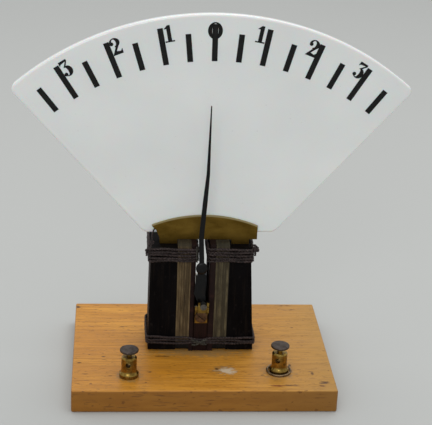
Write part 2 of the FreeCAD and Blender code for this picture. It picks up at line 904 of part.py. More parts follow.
def make_knot(side, hand, reach):
    """The knot that ends a top lashing, two small turns of cord on the coil's end."""
    radius = mm("lash_cord") / 2
    pitch = mm("lash_cord") + mm("wire_gap")
    start_x = mm("slot_middle") + hand * (reach + mm("lash_cord") + 2 * mm("loose_gap") + radius)
    y = mm("coil_middle") - mm("coil_depth") / 2 + mm("knot_setback")
    loop = mm("knot_loop")

    def place(u, v, climb):
        return vector(start_x + hand * climb, y + u, mm("knot_height") + v)

    path, turn = wound_path(place, loop, loop, mm("knot_corner"), pitch, int(mm("knot_turns")))
    wound(f"lashing_knot_{side}", path, turn, radius)


def make_bearing(place):
    """A bearing block in the slot, its bent bracket with an open notch, and the screw."""
    front = place == "front"
    away = -1 if front else 1
    gap = "size.loose_gap"
    face = f"({COIL_FRONT} + {gap})" if front else f"({COIL_BACK} - {gap})"
    slot_low = "size.slot_middle - size.slot_width / 2 + size.loose_gap"
    slot_room = "size.slot_width - 2 * size.loose_gap"
    foot = "size.board_thickness"
    screw_x = "size.slot_middle"
    screw_z = BRACKET_SCREW
    bore = "size.screw_shank + size.screw_gap"
    plate_depth = "size.bracket_plate"
    lip_width = f"size.{place}_lip_width"

    def from_face(start, depth):
        """The low Y of a stretch that starts so far in front of the block's face."""
        return f"{face} - ({start}) - ({depth})" if front else f"{face} + ({start})"

    post_low = face if front else f"{face} - size.block_depth"
    post_height = f"{BLOCK_TOP} - {foot}"
    post = block(f"{place}_post", slot_room, "size.block_depth", post_height, slot_low, post_low, foot)
    shank_low = from_face(f"-(size.screw_length - {plate_depth})", "size.screw_length")
    bolt_hole = rod(f"{place}_bolt_hole", bore, "size.screw_length", screw_x, shank_low, screw_z, "Y")
    coil_hole = rod(
        f"{place}_block_pilot",
        "size.coil_screw_radius + size.screw_gap",
        f"size.coil_screw_top - {foot}",
        "size.slot_middle",
        block_middle(place),
        foot,
    )
    piece(f"{place}_bearing_block", carve(f"{place}_bored_post", post, bolt_hole, coil_hole))

    leg = block(
        f"{place}_leg",
        "size.bracket_leg_width",
        plate_depth,
        f"{BRACKET_SHELF} - {BRACKET_FOOT}",
        "size.slot_middle - size.bracket_leg_width / 2",
        from_face("0", plate_depth),
        BRACKET_FOOT,
    )
    shelf = block(
        f"{place}_shelf",
        lip_width,
        "size.bracket_reach",
        plate_depth,
        f"-{lip_width} / 2",
        from_face("0", "size.bracket_reach"),
        f"{BRACKET_SHELF} - {plate_depth}",
    )
    lip = block(
        f"{place}_lip",
        lip_width,
        plate_depth,
        f"{BRACKET_LIP} - {BRACKET_SHELF} + {plate_depth}",
        f"-{lip_width} / 2",
        from_face(f"size.bracket_reach - {plate_depth}", plate_depth),
        f"{BRACKET_SHELF} - {plate_depth}",
    )
    lip_start = from_face(f"size.bracket_reach - {plate_depth}", plate_depth)
    notch_radius = "size.journal_radius + size.running_gap"
    notch = rod(f"{place}_notch", notch_radius, plate_depth, "0", lip_start, "size.pivot_height", "Y")
    mouth = block(
        f"{place}_notch_mouth",
        f"2 * ({notch_radius})",
        plate_depth,
        f"{BRACKET_LIP} - size.pivot_height",
        f"-({notch_radius})",
        lip_start,
        "size.pivot_height",
    )
    leg_hole = rod(f"{place}_leg_hole", bore, plate_depth, screw_x, from_face("0", plate_depth), screw_z, "Y")
    bent = join(f"{place}_bent_strip", leg, shelf, lip)
    piece(f"{place}_bearing_bracket", carve(f"{place}_bracket", bent, notch, mouth, leg_hole))
    make_bracket_screw(place, away, shank_low, from_face(plate_depth, "size.screw_head_height"))


def make_bracket_screw(place, away, shank_low, head_low):
    """A slotted cheese-head screw that holds a bracket on its block."""
    x = "size.slot_middle"
    z = BRACKET_SCREW
    shank = rod(f"{place}_screw_shank", "size.screw_shank", "size.screw_length", x, shank_low, z, "Y")
    head = rounded(
        f"{place}_screw_head",
        "size.screw_head_radius",
        "size.screw_head_height",
        "size.screw_head_height / 5",
        x,
        head_low,
        z,
        "Y",
    )
    slot = doc.addObject("Part::Box", f"{place}_screw_slot")
    bind(slot, Length="2 * size.screw_head_radius", Width="size.screw_slot_depth", Height="size.screw_slot")
    tilt = FreeCAD.Rotation(vector(0, 1, 0), mm("screw_slot_angle") * -away)
    half = tilt.multVec(vector(mm("screw_head_radius"), 0, mm("screw_slot") / 2))
    outer_face = head_low if away < 0 else f"{head_low} + size.screw_head_height - size.screw_slot_depth"
    seat(slot, f"{x} - ({half.x})", outer_face, f"{z} - ({half.z})", tilt)
    piece(f"{place}_bracket_screw", carve(f"{place}_screw", join(f"{place}_screw_solid", shank, head), slot))


def make_coil_screws():
    """Two countersunk screws from below, through the board into the bearing blocks."""
    screws = []
    for place in ("front", "rear"):
        x = "size.slot_middle"
        y = block_middle(place)
        head = taper(
            f"{place}_coil_screw_head",
            "size.coil_screw_head",
            "size.coil_screw_radius",
            "size.coil_screw_countersink",
            x,
            y,
            "0",
        )
        shank = rod(f"{place}_coil_screw_shank", "size.coil_screw_radius", "size.coil_screw_top", x, y, "0")
        screws.append(join(f"{place}_coil_screw", head, shank))
    group = doc.addObject("Part::Compound", "coil_screws")
    group.Links = screws
    piece("coil_screws", group)


def make_swing():
    """The axle with its journals, the magnet inside the coil, and the needle with its boss."""
    pivot = "size.pivot_height"
    axle_length = f"{AXLE_BACK} - {AXLE_FRONT}"
    piece("pointer_axle", rod("axle_rod", "size.axle_bore", axle_length, "0", AXLE_FRONT, pivot, "Y"))
    axle_room = "size.axle_bore + size.screw_gap"
    needle_back = f"{NEEDLE_FRONT} + size.needle_plate"
    sleeves = [
        ("front_journal", AXLE_FRONT, f"{NEEDLE_FRONT} - {AXLE_FRONT}"),
        ("needle_hub", needle_back, "size.journal_length"),
        ("rear_journal", f"{AXLE_BACK} - size.journal_length", "size.journal_length"),
    ]
    for label, start, length in sleeves:
        sleeve = rod(f"{label}_sleeve", "size.journal_radius", length, "0", start, pivot, "Y")
        way = rod(f"{label}_way", axle_room, length, "0", start, pivot, "Y")
        piece(label, carve(f"{label}_bored", sleeve, way))

    magnet_low = "size.coil_middle - size.magnet_depth / 2"
    bar = block(
        "magnet_blank",
        "size.magnet_width",
        "size.magnet_depth",
        "size.magnet_length",
        "size.magnet_offset - size.magnet_width / 2",
        magnet_low,
        "size.board_thickness + size.build_up + size.former_wall + size.magnet_clear",
    )
    eye = rod("magnet_eye", axle_room, "size.magnet_depth", "0", magnet_low, pivot, "Y")
    piece("magnet_bar", carve("magnet", bar, eye))
    make_needle(pivot, axle_room)


def make_needle(pivot, axle_room):
    """The black needle: a wide tail at the axle, a slim bowed blade and a fine tip."""
    bow = "size.needle_bow"
    tip = "size.needle_tip"
    stations = [
        ("0.3", "0.28", tip),
        ("0", "0.9", f"{tip} * 0.67"),
        (f"-0.45 * {bow}", "1.25", f"{tip} * 0.53"),
        (f"-0.92 * {bow}", "1.3", f"{tip} * 0.38"),
        (f"-{bow}", "1.35", f"{tip} * 0.34"),
        (f"-0.65 * {bow}", "1.35", f"{tip} * 0.2"),
        (f"-0.8 * {bow}", "2.5", f"{tip} * 0.135"),
        (f"-0.95 * {bow}", "3.0", f"{tip} * 0.055"),
        ("-0.5", "1.9", "0"),
    ]
    rim = [(f"{x} - {half}", f"{pivot} + {up}") for x, half, up in stations]
    rim += [(f"{x} + {half}", f"{pivot} + {up}") for x, half, up in reversed(stations)]
    blade = plate("needle_blade", rim, NEEDLE_FRONT, "size.needle_plate")
    ring = rod("needle_ring", "size.needle_hub", "size.needle_plate", "0", NEEDLE_FRONT, pivot, "Y")
    eye = rod("needle_eye", axle_room, "size.needle_plate", "0", NEEDLE_FRONT, pivot, "Y")
    piece("needle", carve("needle_bored", join("needle_solid", blade, ring), eye))

    boss_x = f"-0.65 * {bow}"
    boss_z = f"{pivot} + size.boss_height"
    half_width = "size.boss_width / 2"
    half_length = "size.boss_length / 2"
    corners = [
        (f"{boss_x} - {half_width}", boss_z),
        (f"{boss_x} - {half_width} / 2", f"{boss_z} - {half_length} * 0.8"),
        (f"{boss_x} + {half_width} / 2", f"{boss_z} - {half_length} * 0.8"),
        (f"{boss_x} + {half_width}", boss_z),
        (f"{boss_x} + {half_width} / 3", f"{boss_z} + {half_length}"),
        (f"{boss_x} - {half_width} / 3", f"{boss_z} + {half_length}"),
    ]
    boss_front = f"{NEEDLE_FRONT} + size.needle_plate / 2 - size.boss_depth / 2"
    nut = plate("boss_nut", corners, boss_front, "size.boss_depth")
    slit = plate("boss_slit", rim, NEEDLE_FRONT, "size.needle_plate")
    piece("needle_boss", carve("boss", nut, slit))


def make_glass():
    """The milk-glass sector: an arc above, two straight sides and a short straight foot."""
    slope = math.tan(math.radians(mm("glass_half_angle")))
    far = "1.05 * size.glass_radius"
    side_foot = f"size.glass_side_offset + {GLASS_FOOT} * {slope}"
    side_far = f"size.glass_side_offset + {far} * {slope}"
    corners = [
        (f"-({side_foot})", GLASS_FOOT),
        (side_foot, GLASS_FOOT),
        (side_far, far),
        (f"-({side_far})", far),
    ]
    sector = plate("glass_sector", corners, "0", "size.glass_thickness")
    disc = rod("glass_disc", "size.glass_radius", "size.glass_thickness", "0", "0", "0", "Y")
    blank = shared("glass_blank", sector, disc)
    doc.recompute()
    straight_foot = mm("coil_top") + mm("glass_seat") - mm("pivot_height")
    foot_edges = []
    head_edges = []
    for number, edge in enumerate(blank.Shape.Edges, start=1):
        box = edge.BoundBox
        if box.YLength > mm("glass_thickness") / 2 and box.XLength + box.ZLength < mm("ink"):
            near_foot = box.ZMin < straight_foot + mm("ink")
            (foot_edges if near_foot else head_edges).append(number)
    corners_cut = doc.addObject("Part::Fillet", "glass_corners")
    corners_cut.Base = blank
    rounds = [(number, mm("glass_foot_round"), mm("glass_foot_round")) for number in foot_edges]
    rounds += [(number, mm("glass_head_round"), mm("glass_head_round")) for number in head_edges]
    corners_cut.Edges = rounds
    doc.recompute()
    rim = doc.addObject("Part::Fillet", "glass_rim")
    rim.Base = corners_cut
    rim_round = mm("glass_rim_round")
    rim.Edges = [
        (number, rim_round, rim_round)
        for number, edge in enumerate(corners_cut.Shape.Edges, start=1)
        if edge.BoundBox.YLength < mm("ink")
    ]
    rim.Placement = scale_place()
    piece("scale_glass", rim)


def scale_place(depth=0.0):
    """Where the scale's own frame stands: its centre is the pivot's height, turned a little."""
    turn = FreeCAD.Rotation(vector(0, 1, 0), -mm("glass_turn"))
    return FreeCAD.Placement(vector(mm("glass_shift"), mm("glass_front") + depth, mm("pivot_height")), turn)


def make_marks():
    """Fifteen printed strokes, a long one at each whole number and a short one between."""
    strokes = []
    for half_step in range(-7, 8):
        whole = half_step % 2 == 0
        stroke = doc.addObject("Part::Box", f"stroke_{half_step + 8}")
        outer = MARK_LONG if whole else MARK_SHORT
        bind(stroke, Length="size.mark_width", Width="size.ink", Height=f"{outer} - {MARK_FOOT}")
        angle = half_step / 2 * mm("mark_step")
        lean = FreeCAD.Placement(vector(), FreeCAD.Rotation(vector(0, 1, 0), angle))
        corner = FreeCAD.Placement(
            vector(-mm("mark_width") / 2, 0, mm("glass_radius") - mm("mark_foot_in")), FreeCAD.Rotation()
        )
        stroke.Placement = scale_place(-mm("ink")).multiply(lean).multiply(corner)
        strokes.append(stroke)
    group = doc.addObject("Part::Compound", "scale_marks")
    group.Links = strokes
    piece("scale_marks", group)


def oval(tall, across, up, x=0.0, z=0.0):
    """A printed oval, its half sizes and place given as shares of the numeral's height."""
    major, minor = (up, across) if up >= across else (across, up)
    curve = Part.Ellipse(vector(), major * tall, minor * tall)
    flat = Part.Face(Part.Wire(curve.toShape()))
    spin = FreeCAD.Rotation(vector(0, 0, 1), 90 if up >= across else 0)
    upright = FreeCAD.Rotation(vector(1, 0, 0), 90)
    flat.Placement = FreeCAD.Placement(vector(x * tall, 0, z * tall), upright.multiply(spin))
    return flat.extrude(vector(0, -mm("ink"), 0))


def patch(tall, *corners):
    """A printed shape with straight edges, its corners given as shares of the numeral's height."""
    points = [vector(x * tall, 0, z * tall) for x, z in corners]
    return Part.Face(Part.makePolygon(points + points[:1])).extrude(vector(0, -mm("ink"), 0))


def numeral_zero(tall):
    """A round nought with thick sides and a thin crown and foot."""
    return oval(tall, 0.42, 0.5).cut(oval(tall, 0.2, 0.45))


def numeral_one(tall):
    """A one with a thick stem, a fine foot and a small flag."""
    stem = patch(tall, (-0.11, -0.5), (0.11, -0.5), (0.11, 0.5), (-0.02, 0.5), (-0.11, 0.4))
    foot = patch(tall, (-0.27, -0.5), (0.27, -0.5), (0.27, -0.44), (-0.27, -0.44))
    flag = patch(tall, (-0.26, 0.3), (-0.1, 0.3), (0.02, 0.5), (-0.04, 0.5))
    return stem.fuse([foot, flag])


def numeral_two(tall):
    """A two with a ball end, a thick crown, a thin neck and a waved foot."""
    bowl = oval(tall, 0.3, 0.27, 0.0, 0.23).cut(oval(tall, 0.14, 0.225, -0.04, 0.235))
    bowl = bowl.cut(patch(tall, (-0.4, 0.25), (-0.04, 0.25), (-0.04, -0.1), (-0.4, -0.1)))
    ball = oval(tall, 0.1, 0.1, -0.19, 0.2)
    neck = patch(tall, (0.06, 0.06), (0.28, 0.16), (-0.12, -0.4), (-0.31, -0.5))
    foot = patch(tall, (-0.31, -0.5), (-0.2, -0.34), (-0.06, -0.29), (0.2, -0.36), (0.32, -0.22), (0.3, -0.5))
    return bowl.fuse([ball, neck, foot])


def numeral_three(tall):
    """A flat-topped three: a bar, a slanting stroke and a round bowl with a ball end."""
    bar = patch(tall, (-0.24, 0.5), (0.24, 0.5), (0.24, 0.4), (-0.18, 0.34), (-0.26, 0.24))
    slant = patch(tall, (0.24, 0.5), (0.24, 0.4), (-0.0, 0.08), (-0.1, 0.08))
    bowl = oval(tall, 0.3, 0.32, 0.0, -0.18).cut(oval(tall, 0.12, 0.275, -0.07, -0.18))
    bowl = bowl.cut(patch(tall, (-0.4, 0.2), (-0.08, 0.2), (-0.08, -0.39), (-0.4, -0.39)))
    ball = oval(tall, 0.1, 0.1, -0.19, -0.33)
    return bar.fuse([slant, bowl, ball])


def make_numerals():
    """Plain numbers 3 2 1 0 1 2 3 beside the long strokes, turned with them."""
    tall = mm("numeral_height")
    shapes = {0: numeral_zero, 1: numeral_one, 2: numeral_two, 3: numeral_three}
    room = mm("mark_width") + 2 * mm("screw_gap")
    stroke = Part.makeBox(
        room,
        4 * mm("ink"),
        mm("mark_foot_in") - mm("mark_long_in") + mm("screw_gap"),
        vector(-room / 2, -2 * mm("ink"), mm("glass_radius") - mm("mark_foot_in")),
    )
    solids = []
    for number in range(-3, 4):
        numeral = shapes[abs(number)](tall)
        aside = 0.0 if number == 0 else -math.copysign(mm("numeral_aside"), number)
        numeral.translate(vector(aside, 0, mm("glass_radius") - mm("numeral_in")))
        numeral = numeral.cut(stroke).removeSplitter()
        lean = FreeCAD.Placement(vector(), FreeCAD.Rotation(vector(0, 1, 0), number * mm("mark_step")))
        numeral.Placement = scale_place().multiply(lean)
        solids.extend(numeral.Solids)
    print(f"numerals: {len(solids)} solids")
    numerals = doc.addObject("Part::Feature", "scale_numerals")
    numerals.Shape = Part.makeCompound(solids)
    piece("scale_numerals", numerals)


def holder_corners():
    """The outline of a holder plate: two feet, a bridge over the windings and a cut corner."""
    middle = "size.holder_middle"
    half = "size.holder_half_width"
    crown = "size.holder_crown + size.holder_crown_radius / 5"
    bridge = "size.coil_top + size.loose_gap"
    return [
        (f"{middle} - size.holder_foot_outer", "size.cover_top"),
        (f"{middle} - size.holder_foot_inner", "size.cover_top"),
        (f"{middle} - size.holder_foot_inner", bridge),
        (f"{middle} + size.holder_foot_inner", bridge),
        (f"{middle} + size.holder_foot_inner", "size.cover_top"),
        (f"{middle} + size.holder_foot_outer", "size.cover_top"),
        (f"{middle} + size.holder_foot_outer", "size.holder_side_foot"),
        (f"{middle} + {half}", "size.holder_side_foot"),
        (f"{middle} + {half}", crown),
        (f"{middle} - {half}", crown),
        (f"{middle} - {half}", "size.holder_corner_foot + size.holder_corner_in"),
        (f"{middle} - {half} + size.holder_corner_in", "size.holder_corner_foot"),
        (f"{middle} - size.holder_foot_outer", "size.holder_corner_foot - size.holder_corner_drop * 0.8"),
    ]


def make_holder():
    """Two brass plates clamp the glass, with a spacer strip under it, screws and foot pins."""
    middle = "size.holder_middle"
    plate_depth = "size.holder_plate"
    glass_front = "size.glass_front"
    glass_depth = "size.glass_thickness"
    glass_back = f"{glass_front} + {glass_depth}"
    bridge = "size.coil_top + size.loose_gap"
    screw_z = f"({bridge} + size.pivot_height + {GLASS_FOOT}) / 2 - size.loose_gap"
    spread = "size.holder_screw_spread"
    bore = "size.holder_screw_radius + size.screw_gap"
    crown_z = "size.holder_crown - size.holder_crown_radius"
    starts = {"front": f"{glass_front} - {plate_depth}", "rear": glass_back}
    for place, start in starts.items():
        sheet_metal = plate(f"{place}_holder_sheet", holder_corners(), start, plate_depth)
        crown = rod(
            f"{place}_holder_crown", "size.holder_crown_radius", plate_depth, middle, start, crown_z, "Y"
        )
        arched = shared(f"{place}_holder_arched", sheet_metal, crown)
        depth = "size.holder_blind" if place == "front" else plate_depth
        low = f"{glass_front} - {depth}" if place == "front" else start
        holes = [
            rod(f"{place}_holder_hole_{name}", bore, depth, f"{middle} {sign} {spread}", low, screw_z, "Y")
            for name, sign in (("left", "-"), ("right", "+"))
        ]
        piece(f"scale_holder_{place}", carve(f"{place}_holder", arched, *holes))
    make_spacer(screw_z, bore)
    make_holder_fixings(screw_z)


def make_spacer(screw_z, bore):
    """The strip between the holder's plates, which the glass stands on."""
    middle = "size.holder_middle"
    bridge = "size.coil_top + size.loose_gap"
    glass_front = "size.glass_front"
    glass_depth = "size.glass_thickness"
    strip = block(
        "spacer_strip",
        "2 * size.holder_foot_outer",
        glass_depth,
        f"size.pivot_height + {GLASS_FOOT} - size.glass_side_offset / 5 - ({bridge})",
        f"{middle} - size.holder_foot_outer",
        glass_front,
        bridge,
    )
    feet = []
    for name, low in (
        ("left", f"{middle} - size.holder_foot_outer"),
        ("right", f"{middle} + size.holder_foot_inner"),
    ):
        feet.append(
            block(
                f"spacer_foot_{name}",
                "size.holder_foot_outer - size.holder_foot_inner",
                glass_depth,
                f"{bridge} - size.cover_top",
                low,
                glass_front,
                "size.cover_top",
            )
        )
    holes = []
    for name, sign in (("left", "-"), ("right", "+")):
        x = f"{middle} {sign} size.holder_screw_spread"
        holes.append(rod(f"spacer_hole_{name}", bore, glass_depth, x, glass_front, screw_z, "Y"))
    piece("holder_spacer", carve("spacer", join("spacer_solid", strip, *feet), *holes))


def make_holder_fixings(screw_z):
    """Round-headed screws from the back, and pins from the spacer down into the coil."""
    middle = "size.holder_middle"
    glass_front = "size.glass_front"
    plate_depth = "size.holder_plate"
    back = f"{glass_front} + size.glass_thickness + {plate_depth}"
    shank_start = f"{glass_front} - size.holder_blind"
    screws = []
    pins = [pin_room(side, "shank") for side in ("left", "right")]
    for name, sign in (("left", "-"), ("right", "+")):
        x = f"{middle} {sign} size.holder_screw_spread"
        shank = rod(
            f"holder_shank_{name}",
            "size.holder_screw_radius",
            f"{back} - ({shank_start})",
            x,
            shank_start,
            screw_z,
            "Y",
        )
        head = rounded(
            f"holder_head_{name}",
            "size.holder_head_radius",
            "size.holder_head_height",
            "size.holder_head_height / 2.5",
            x,
            back,
            screw_z,
            "Y",
        )
        screws.append(join(f"holder_screw_{name}", shank, head))
    for label, members in (("holder_screws", screws), ("holder_pins", pins)):
        group = doc.addObject("Part::Compound", label)
        group.Links = members
        piece(label, group)


def write_pieces():
    """Check every object, then write each piece to its own file."""
    faults = [thing.Name for thing in doc.Objects if {"Invalid", "Error"} & set(thing.State)]
    for label, thing in pieces.items():
        if thing.Shape.isNull() or not thing.Shape.isValid() or not thing.Shape.Solids:
            faults.append(label)
    if faults:
        raise RuntimeError(f"objects that failed: {faults}")
    os.makedirs("parts", exist_ok=True)
    for label, thing in pieces.items():
        thing.Shape.exportStep(f"parts/{label}.step")
    print(f"{len(pieces)} pieces written")


make_board()
make_leads()
make_post("left")
make_post("right")
make_post_fixings()
make_hoop()
make_coil_half("left")
make_coil_half("right")
make_lashings()
make_bearing("front")
make_bearing("rear")
make_coil_screws()
make_swing()
make_glass()
make_marks()
make_numerals()
make_holder()
doc.recompute()
write_pieces()
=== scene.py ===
"""A demonstration galvanometer: a bound coil on a board, with a long needle before a milk-glass scale."""

import math

import bmesh
import bpy
from mathutils import Matrix, Vector, noise


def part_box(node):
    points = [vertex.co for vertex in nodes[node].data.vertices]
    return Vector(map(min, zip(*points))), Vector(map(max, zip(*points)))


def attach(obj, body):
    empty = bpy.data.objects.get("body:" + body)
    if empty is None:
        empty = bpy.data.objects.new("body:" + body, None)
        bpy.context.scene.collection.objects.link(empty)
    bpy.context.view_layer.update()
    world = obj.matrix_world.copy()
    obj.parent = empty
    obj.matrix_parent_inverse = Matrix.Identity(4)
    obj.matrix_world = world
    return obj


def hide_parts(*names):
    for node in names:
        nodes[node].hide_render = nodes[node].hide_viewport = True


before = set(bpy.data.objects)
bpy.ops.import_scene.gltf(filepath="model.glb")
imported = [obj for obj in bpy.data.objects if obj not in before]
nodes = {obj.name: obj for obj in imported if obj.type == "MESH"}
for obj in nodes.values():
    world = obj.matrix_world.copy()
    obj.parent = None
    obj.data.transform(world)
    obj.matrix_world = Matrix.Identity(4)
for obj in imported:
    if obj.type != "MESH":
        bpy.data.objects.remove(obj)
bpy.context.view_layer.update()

MM = 0.001

# where things are, in millimetres, in the frame's own axes
COIL_MIDDLE_Y = 5.5
WINDING_MIDDLE_Z = 44.9
BARE_STRIPS = {"left": -10.7, "right": 9.9}
BARE_WIDTH = 7.4
COVER_TOP = 74.4
BOARD_TOP = 12.8
COVER_LEAN = {"left": -0.6, "right": -3.6}

# the bare strips' wire and the rounded form that it goes round
STRIP_TURNS = 13
STRIP_PITCH = 0.57
STRIP_WIRE_RADIUS = 0.27
STRIP_HALVES = (12.23, 31.73)
STRIP_CORNER = 2.6
STRIP_STEP = 1.1
STRIP_WOBBLE = 0.12

# heights between which a bare strip blackens towards its foot and towards its head
STRIP_FOOT_FADE = (19.0, 17.0)
STRIP_HEAD_FADE = (74.5, 76.0)

# the twine bound round the head of each half of the coil and round the foot of the whole
LASH_PITCH = 1.66
LASH_HALF_DEPTH = 13.2
LASH_CORNER = 1.6
LASH_STEP = 0.5
HEAD_SPANS = {"left": (-29.6, -3.675), "right": (2.275, 26.075)}
HEAD_TURNS = 5.1
HEAD_LOWEST = 66.6
HEAD_WOBBLE = 0.75
HEAD_CORD_RADIUS = 0.78
HEAD_TWIST = 3.6
FOOT_SPAN = (-30.085, 28.98)
FOOT_TURNS = 3.1
FOOT_LOWEST = 16.9
FOOT_WOBBLE = 0.6
FOOT_CORD_RADIUS = 0.74
FOOT_TWIST = 3.4

# where the foot's twine is drawn together: its place, its reach, its height and how far it is drawn
DRAWN_X = -1.5
DRAWN_REACH = 5.0
DRAWN_HEIGHT = 18.9
DRAWN_SHARE = 0.55

# the radius of a ply in a two-ply cord, as a share of the cord's
PLY_SHARE = 0.54

# each end knot: its middle, its size and its slant in radians
END_KNOTS = {
    "left": ((-30.3, -5.4, 73.2), 1.5, 0.5),
    "right": ((27.3, -5.4, 74.4), 2.1, -0.6),
}
# from each end of a knot, the two steps that its cut end takes: outwards, along Y and along Z
KNOT_TAILS = (((0.5, -0.8, 0.9), (0.7, -1.9, -0.6)), ((0.4, -0.4, -1.4), (0.1, -0.7, -2.9)))
KNOT_CORD_RADIUS = 0.62
KNOT_TWIST = 2.6
KNOT_STEPS = 90
KNOT_OPEN = 0.35

# the single strands' cords
TIE_RADIUS = 0.5
EYE_RADIUS = 0.42
TIE_PLY_RADIUS = 0.25
CURL_RADIUS = 0.3
TWIST_RADIUS = 0.55
STRAND_TWIST = 2.4
LEAD_RADIUS = 0.6

# the cloth covers: rounded corners, strips along X, Z and Y that let the cloth crease, and thickness
COVER_CORNER = 1.9
COVER_STRIPS = ((0, 15), (2, 60), (1, 20))
COVER_THICKNESS = 0.45
# heights at which the lashings draw the cloth in, and how far up and down that shows
COVER_DRAWN = ((69.8, 4.4), (18.8, 3.0))

# the needle's boss: how full its belly is, and how far it swells past the plain nut
BOSS_FULLNESS = 0.7
BOSS_SWELL = (1.04, 1.0, 1.08)

# the camera that the photograph was taken with
CAMERA_PLACE = (-50.8, -656.3, 369.9)
CAMERA_YAW = 4.9206
CAMERA_PITCH = 22.8221
CAMERA_ROLL = 2.4647
LENS = 111.56
SENSOR = 36.0

# the arc of the brass holder's crown, and the rubbed band along it
CROWN_HUB = (0.1, 0.0, 18.9)
CROWN_RADIUS = 72.0
RUBBED_FROM = 0.9
RUBBED_FULL = 0.5

# the numbers on the glass: the middle of their arc, their size, the ink's spread, and the lean in
# degrees under which a number counts as upright
NUMERAL_HUB = (3.1, 0.0, 43.0)
NUMERAL_SCALE = 0.87
NUMERAL_WEIGHT = 0.14
UPRIGHT = 4.0

# a wave node's own rate, for one unit of scale
WAVE_RATE = 20

# light and floor; each lamp has its place, its target, its size in metres and its power in watts
FLOOR_TONE = "#b6b8b6"
FLOOR_HALF = 3.0
WORLD_LIGHT = 0.72
LAMPS = [
    ("overhead", (0.1, 0.25, 1.1), (0, 0, 0.05), 1.0, 5.0),
    ("front", (-0.35, -1.3, 0.75), (0, 0, 0.08), 0.9, 4.2),
]


def linear(code):
    """An sRGB hex colour as the linear values that a shader takes."""
    parts = [int(code[k : k + 2], 16) / 255 for k in (1, 3, 5)]
    return (*(c / 12.92 if c <= 0.04045 else ((c + 0.055) / 1.055) ** 2.4 for c in parts), 1.0)


def add(tree, kind, inputs=None, **settings):
    """A node with its settings; each of its named inputs takes a value or another node's socket."""
    node = tree.nodes.new(kind)
    for name, value in settings.items():
        setattr(node, name, value)
    for name, value in (inputs or {}).items():
        if isinstance(value, bpy.types.NodeSocket):
            tree.links.new(value, node.inputs[name])
        else:
            node.inputs[name].default_value = value
    return node


def finish_named(name, **constants):
    """A new finish with its shader's constants set; underscores stand for spaces."""
    made = bpy.data.materials.new(name)
    made.use_nodes = True
    tree = made.node_tree
    shader = tree.nodes["Principled BSDF"]
    for key, value in constants.items():
        shader.inputs[key.replace("_", " ")].default_value = value
    return made, tree, shader


def mottle(tree, size, low, high, detail=3.0, warp=0.0):
    """Soft-edged patches so many millimetres long, wide and high, as a mask from 0 to 1."""
    place = add(tree, "ShaderNodeTexCoord").outputs["Object"]
    scale = tuple(1 / (s * MM) for s in size)
    laid = add(tree, "ShaderNodeMapping", {"Vector": place, "Scale": scale})
    cloud = add(
        tree,
        "ShaderNodeTexNoise",
        {"Vector": laid.outputs[0], "Scale": 1.0, "Detail": detail, "Distortion": warp},
    )
    ramp = add(tree, "ShaderNodeMapRange", {"Value": cloud.outputs[0], "From Min": low, "From Max": high})
    return ramp.outputs[0]


def ribs(tree, spacing, along, warp=0.0):
    """Fine parallel ribs so many millimetres apart across one axis, from 0 to 1."""
    place = add(tree, "ShaderNodeTexCoord").outputs["Object"]
    scale = 2 * math.pi / WAVE_RATE / (spacing * MM)
    wave = add(
        tree,
        "ShaderNodeTexWave",
        {"Vector": place, "Scale": scale, "Distortion": warp, "Detail": 1.0},
        bands_direction=along,
    )
    return wave.outputs["Fac"]


def tint(tree, mask, first, second):
    """One colour that gives way to another under a mask; each is a hex code or a socket."""
    ends = [linear(c) if isinstance(c, str) else c for c in (first, second)]
    mixed = add(tree, "ShaderNodeMix", {0: mask, 6: ends[0], 7: ends[1]}, data_type="RGBA")
    return mixed.outputs[2]


def colour(tree, shader, socket):
    """Give a finish its colour."""
    tree.links.new(socket, shader.inputs["Base Color"])


def gloss(tree, shader, mask, low, high):
    """Let a finish's roughness vary between two values under a mask."""
    span = add(tree, "ShaderNodeMapRange", {"Value": mask, "To Min": low, "To Max": high})
    tree.links.new(span.outputs[0], shader.inputs["Roughness"])


def relief(tree, shader, *layers):
    """Raise a finish's surface by several masks, each with its depth in millimetres."""
    normal = None
    for mask, depth in layers:
        inputs = {"Strength": 1.0, "Distance": depth * MM, "Height": mask}
        if normal is not None:
            inputs["Normal"] = normal
        normal = add(tree, "ShaderNodeBump", inputs).outputs[0]
    tree.links.new(normal, shader.inputs["Normal"])


def spot(tree, centre, halves):
    """A mark on the board, 1 at its middle; its place and half sizes are in millimetres."""
    place = add(tree, "ShaderNodeTexCoord").outputs["Object"]
    scale = (1 / (halves[0] * MM), 1 / (halves[1] * MM), 0.0)
    shift = (-centre[0] / halves[0], -centre[1] / halves[1], 0.0)
    laid = add(tree, "ShaderNodeMapping", {"Vector": place, "Location": shift, "Scale": scale})
    reach = add(tree, "ShaderNodeVectorMath", {0: laid.outputs[0]}, operation="LENGTH")
    # small patches push the rim out and in, so that it is ragged
    cloud = mottle(tree, (2.2, 1.1, 2.0), 0.3, 0.7, 4.0)
    inputs = {0: cloud, 1: 0.8, 2: reach.outputs["Value"]}
    rim = add(tree, "ShaderNodeMath", inputs, operation="MULTIPLY_ADD")
    fade = add(
        tree,
        "ShaderNodeMapRange",
        {"Value": rim.outputs[0], "From Min": 1.25, "From Max": 0.75, "To Min": 0.0, "To Max": 1.0},
    )
    return fade.outputs[0]


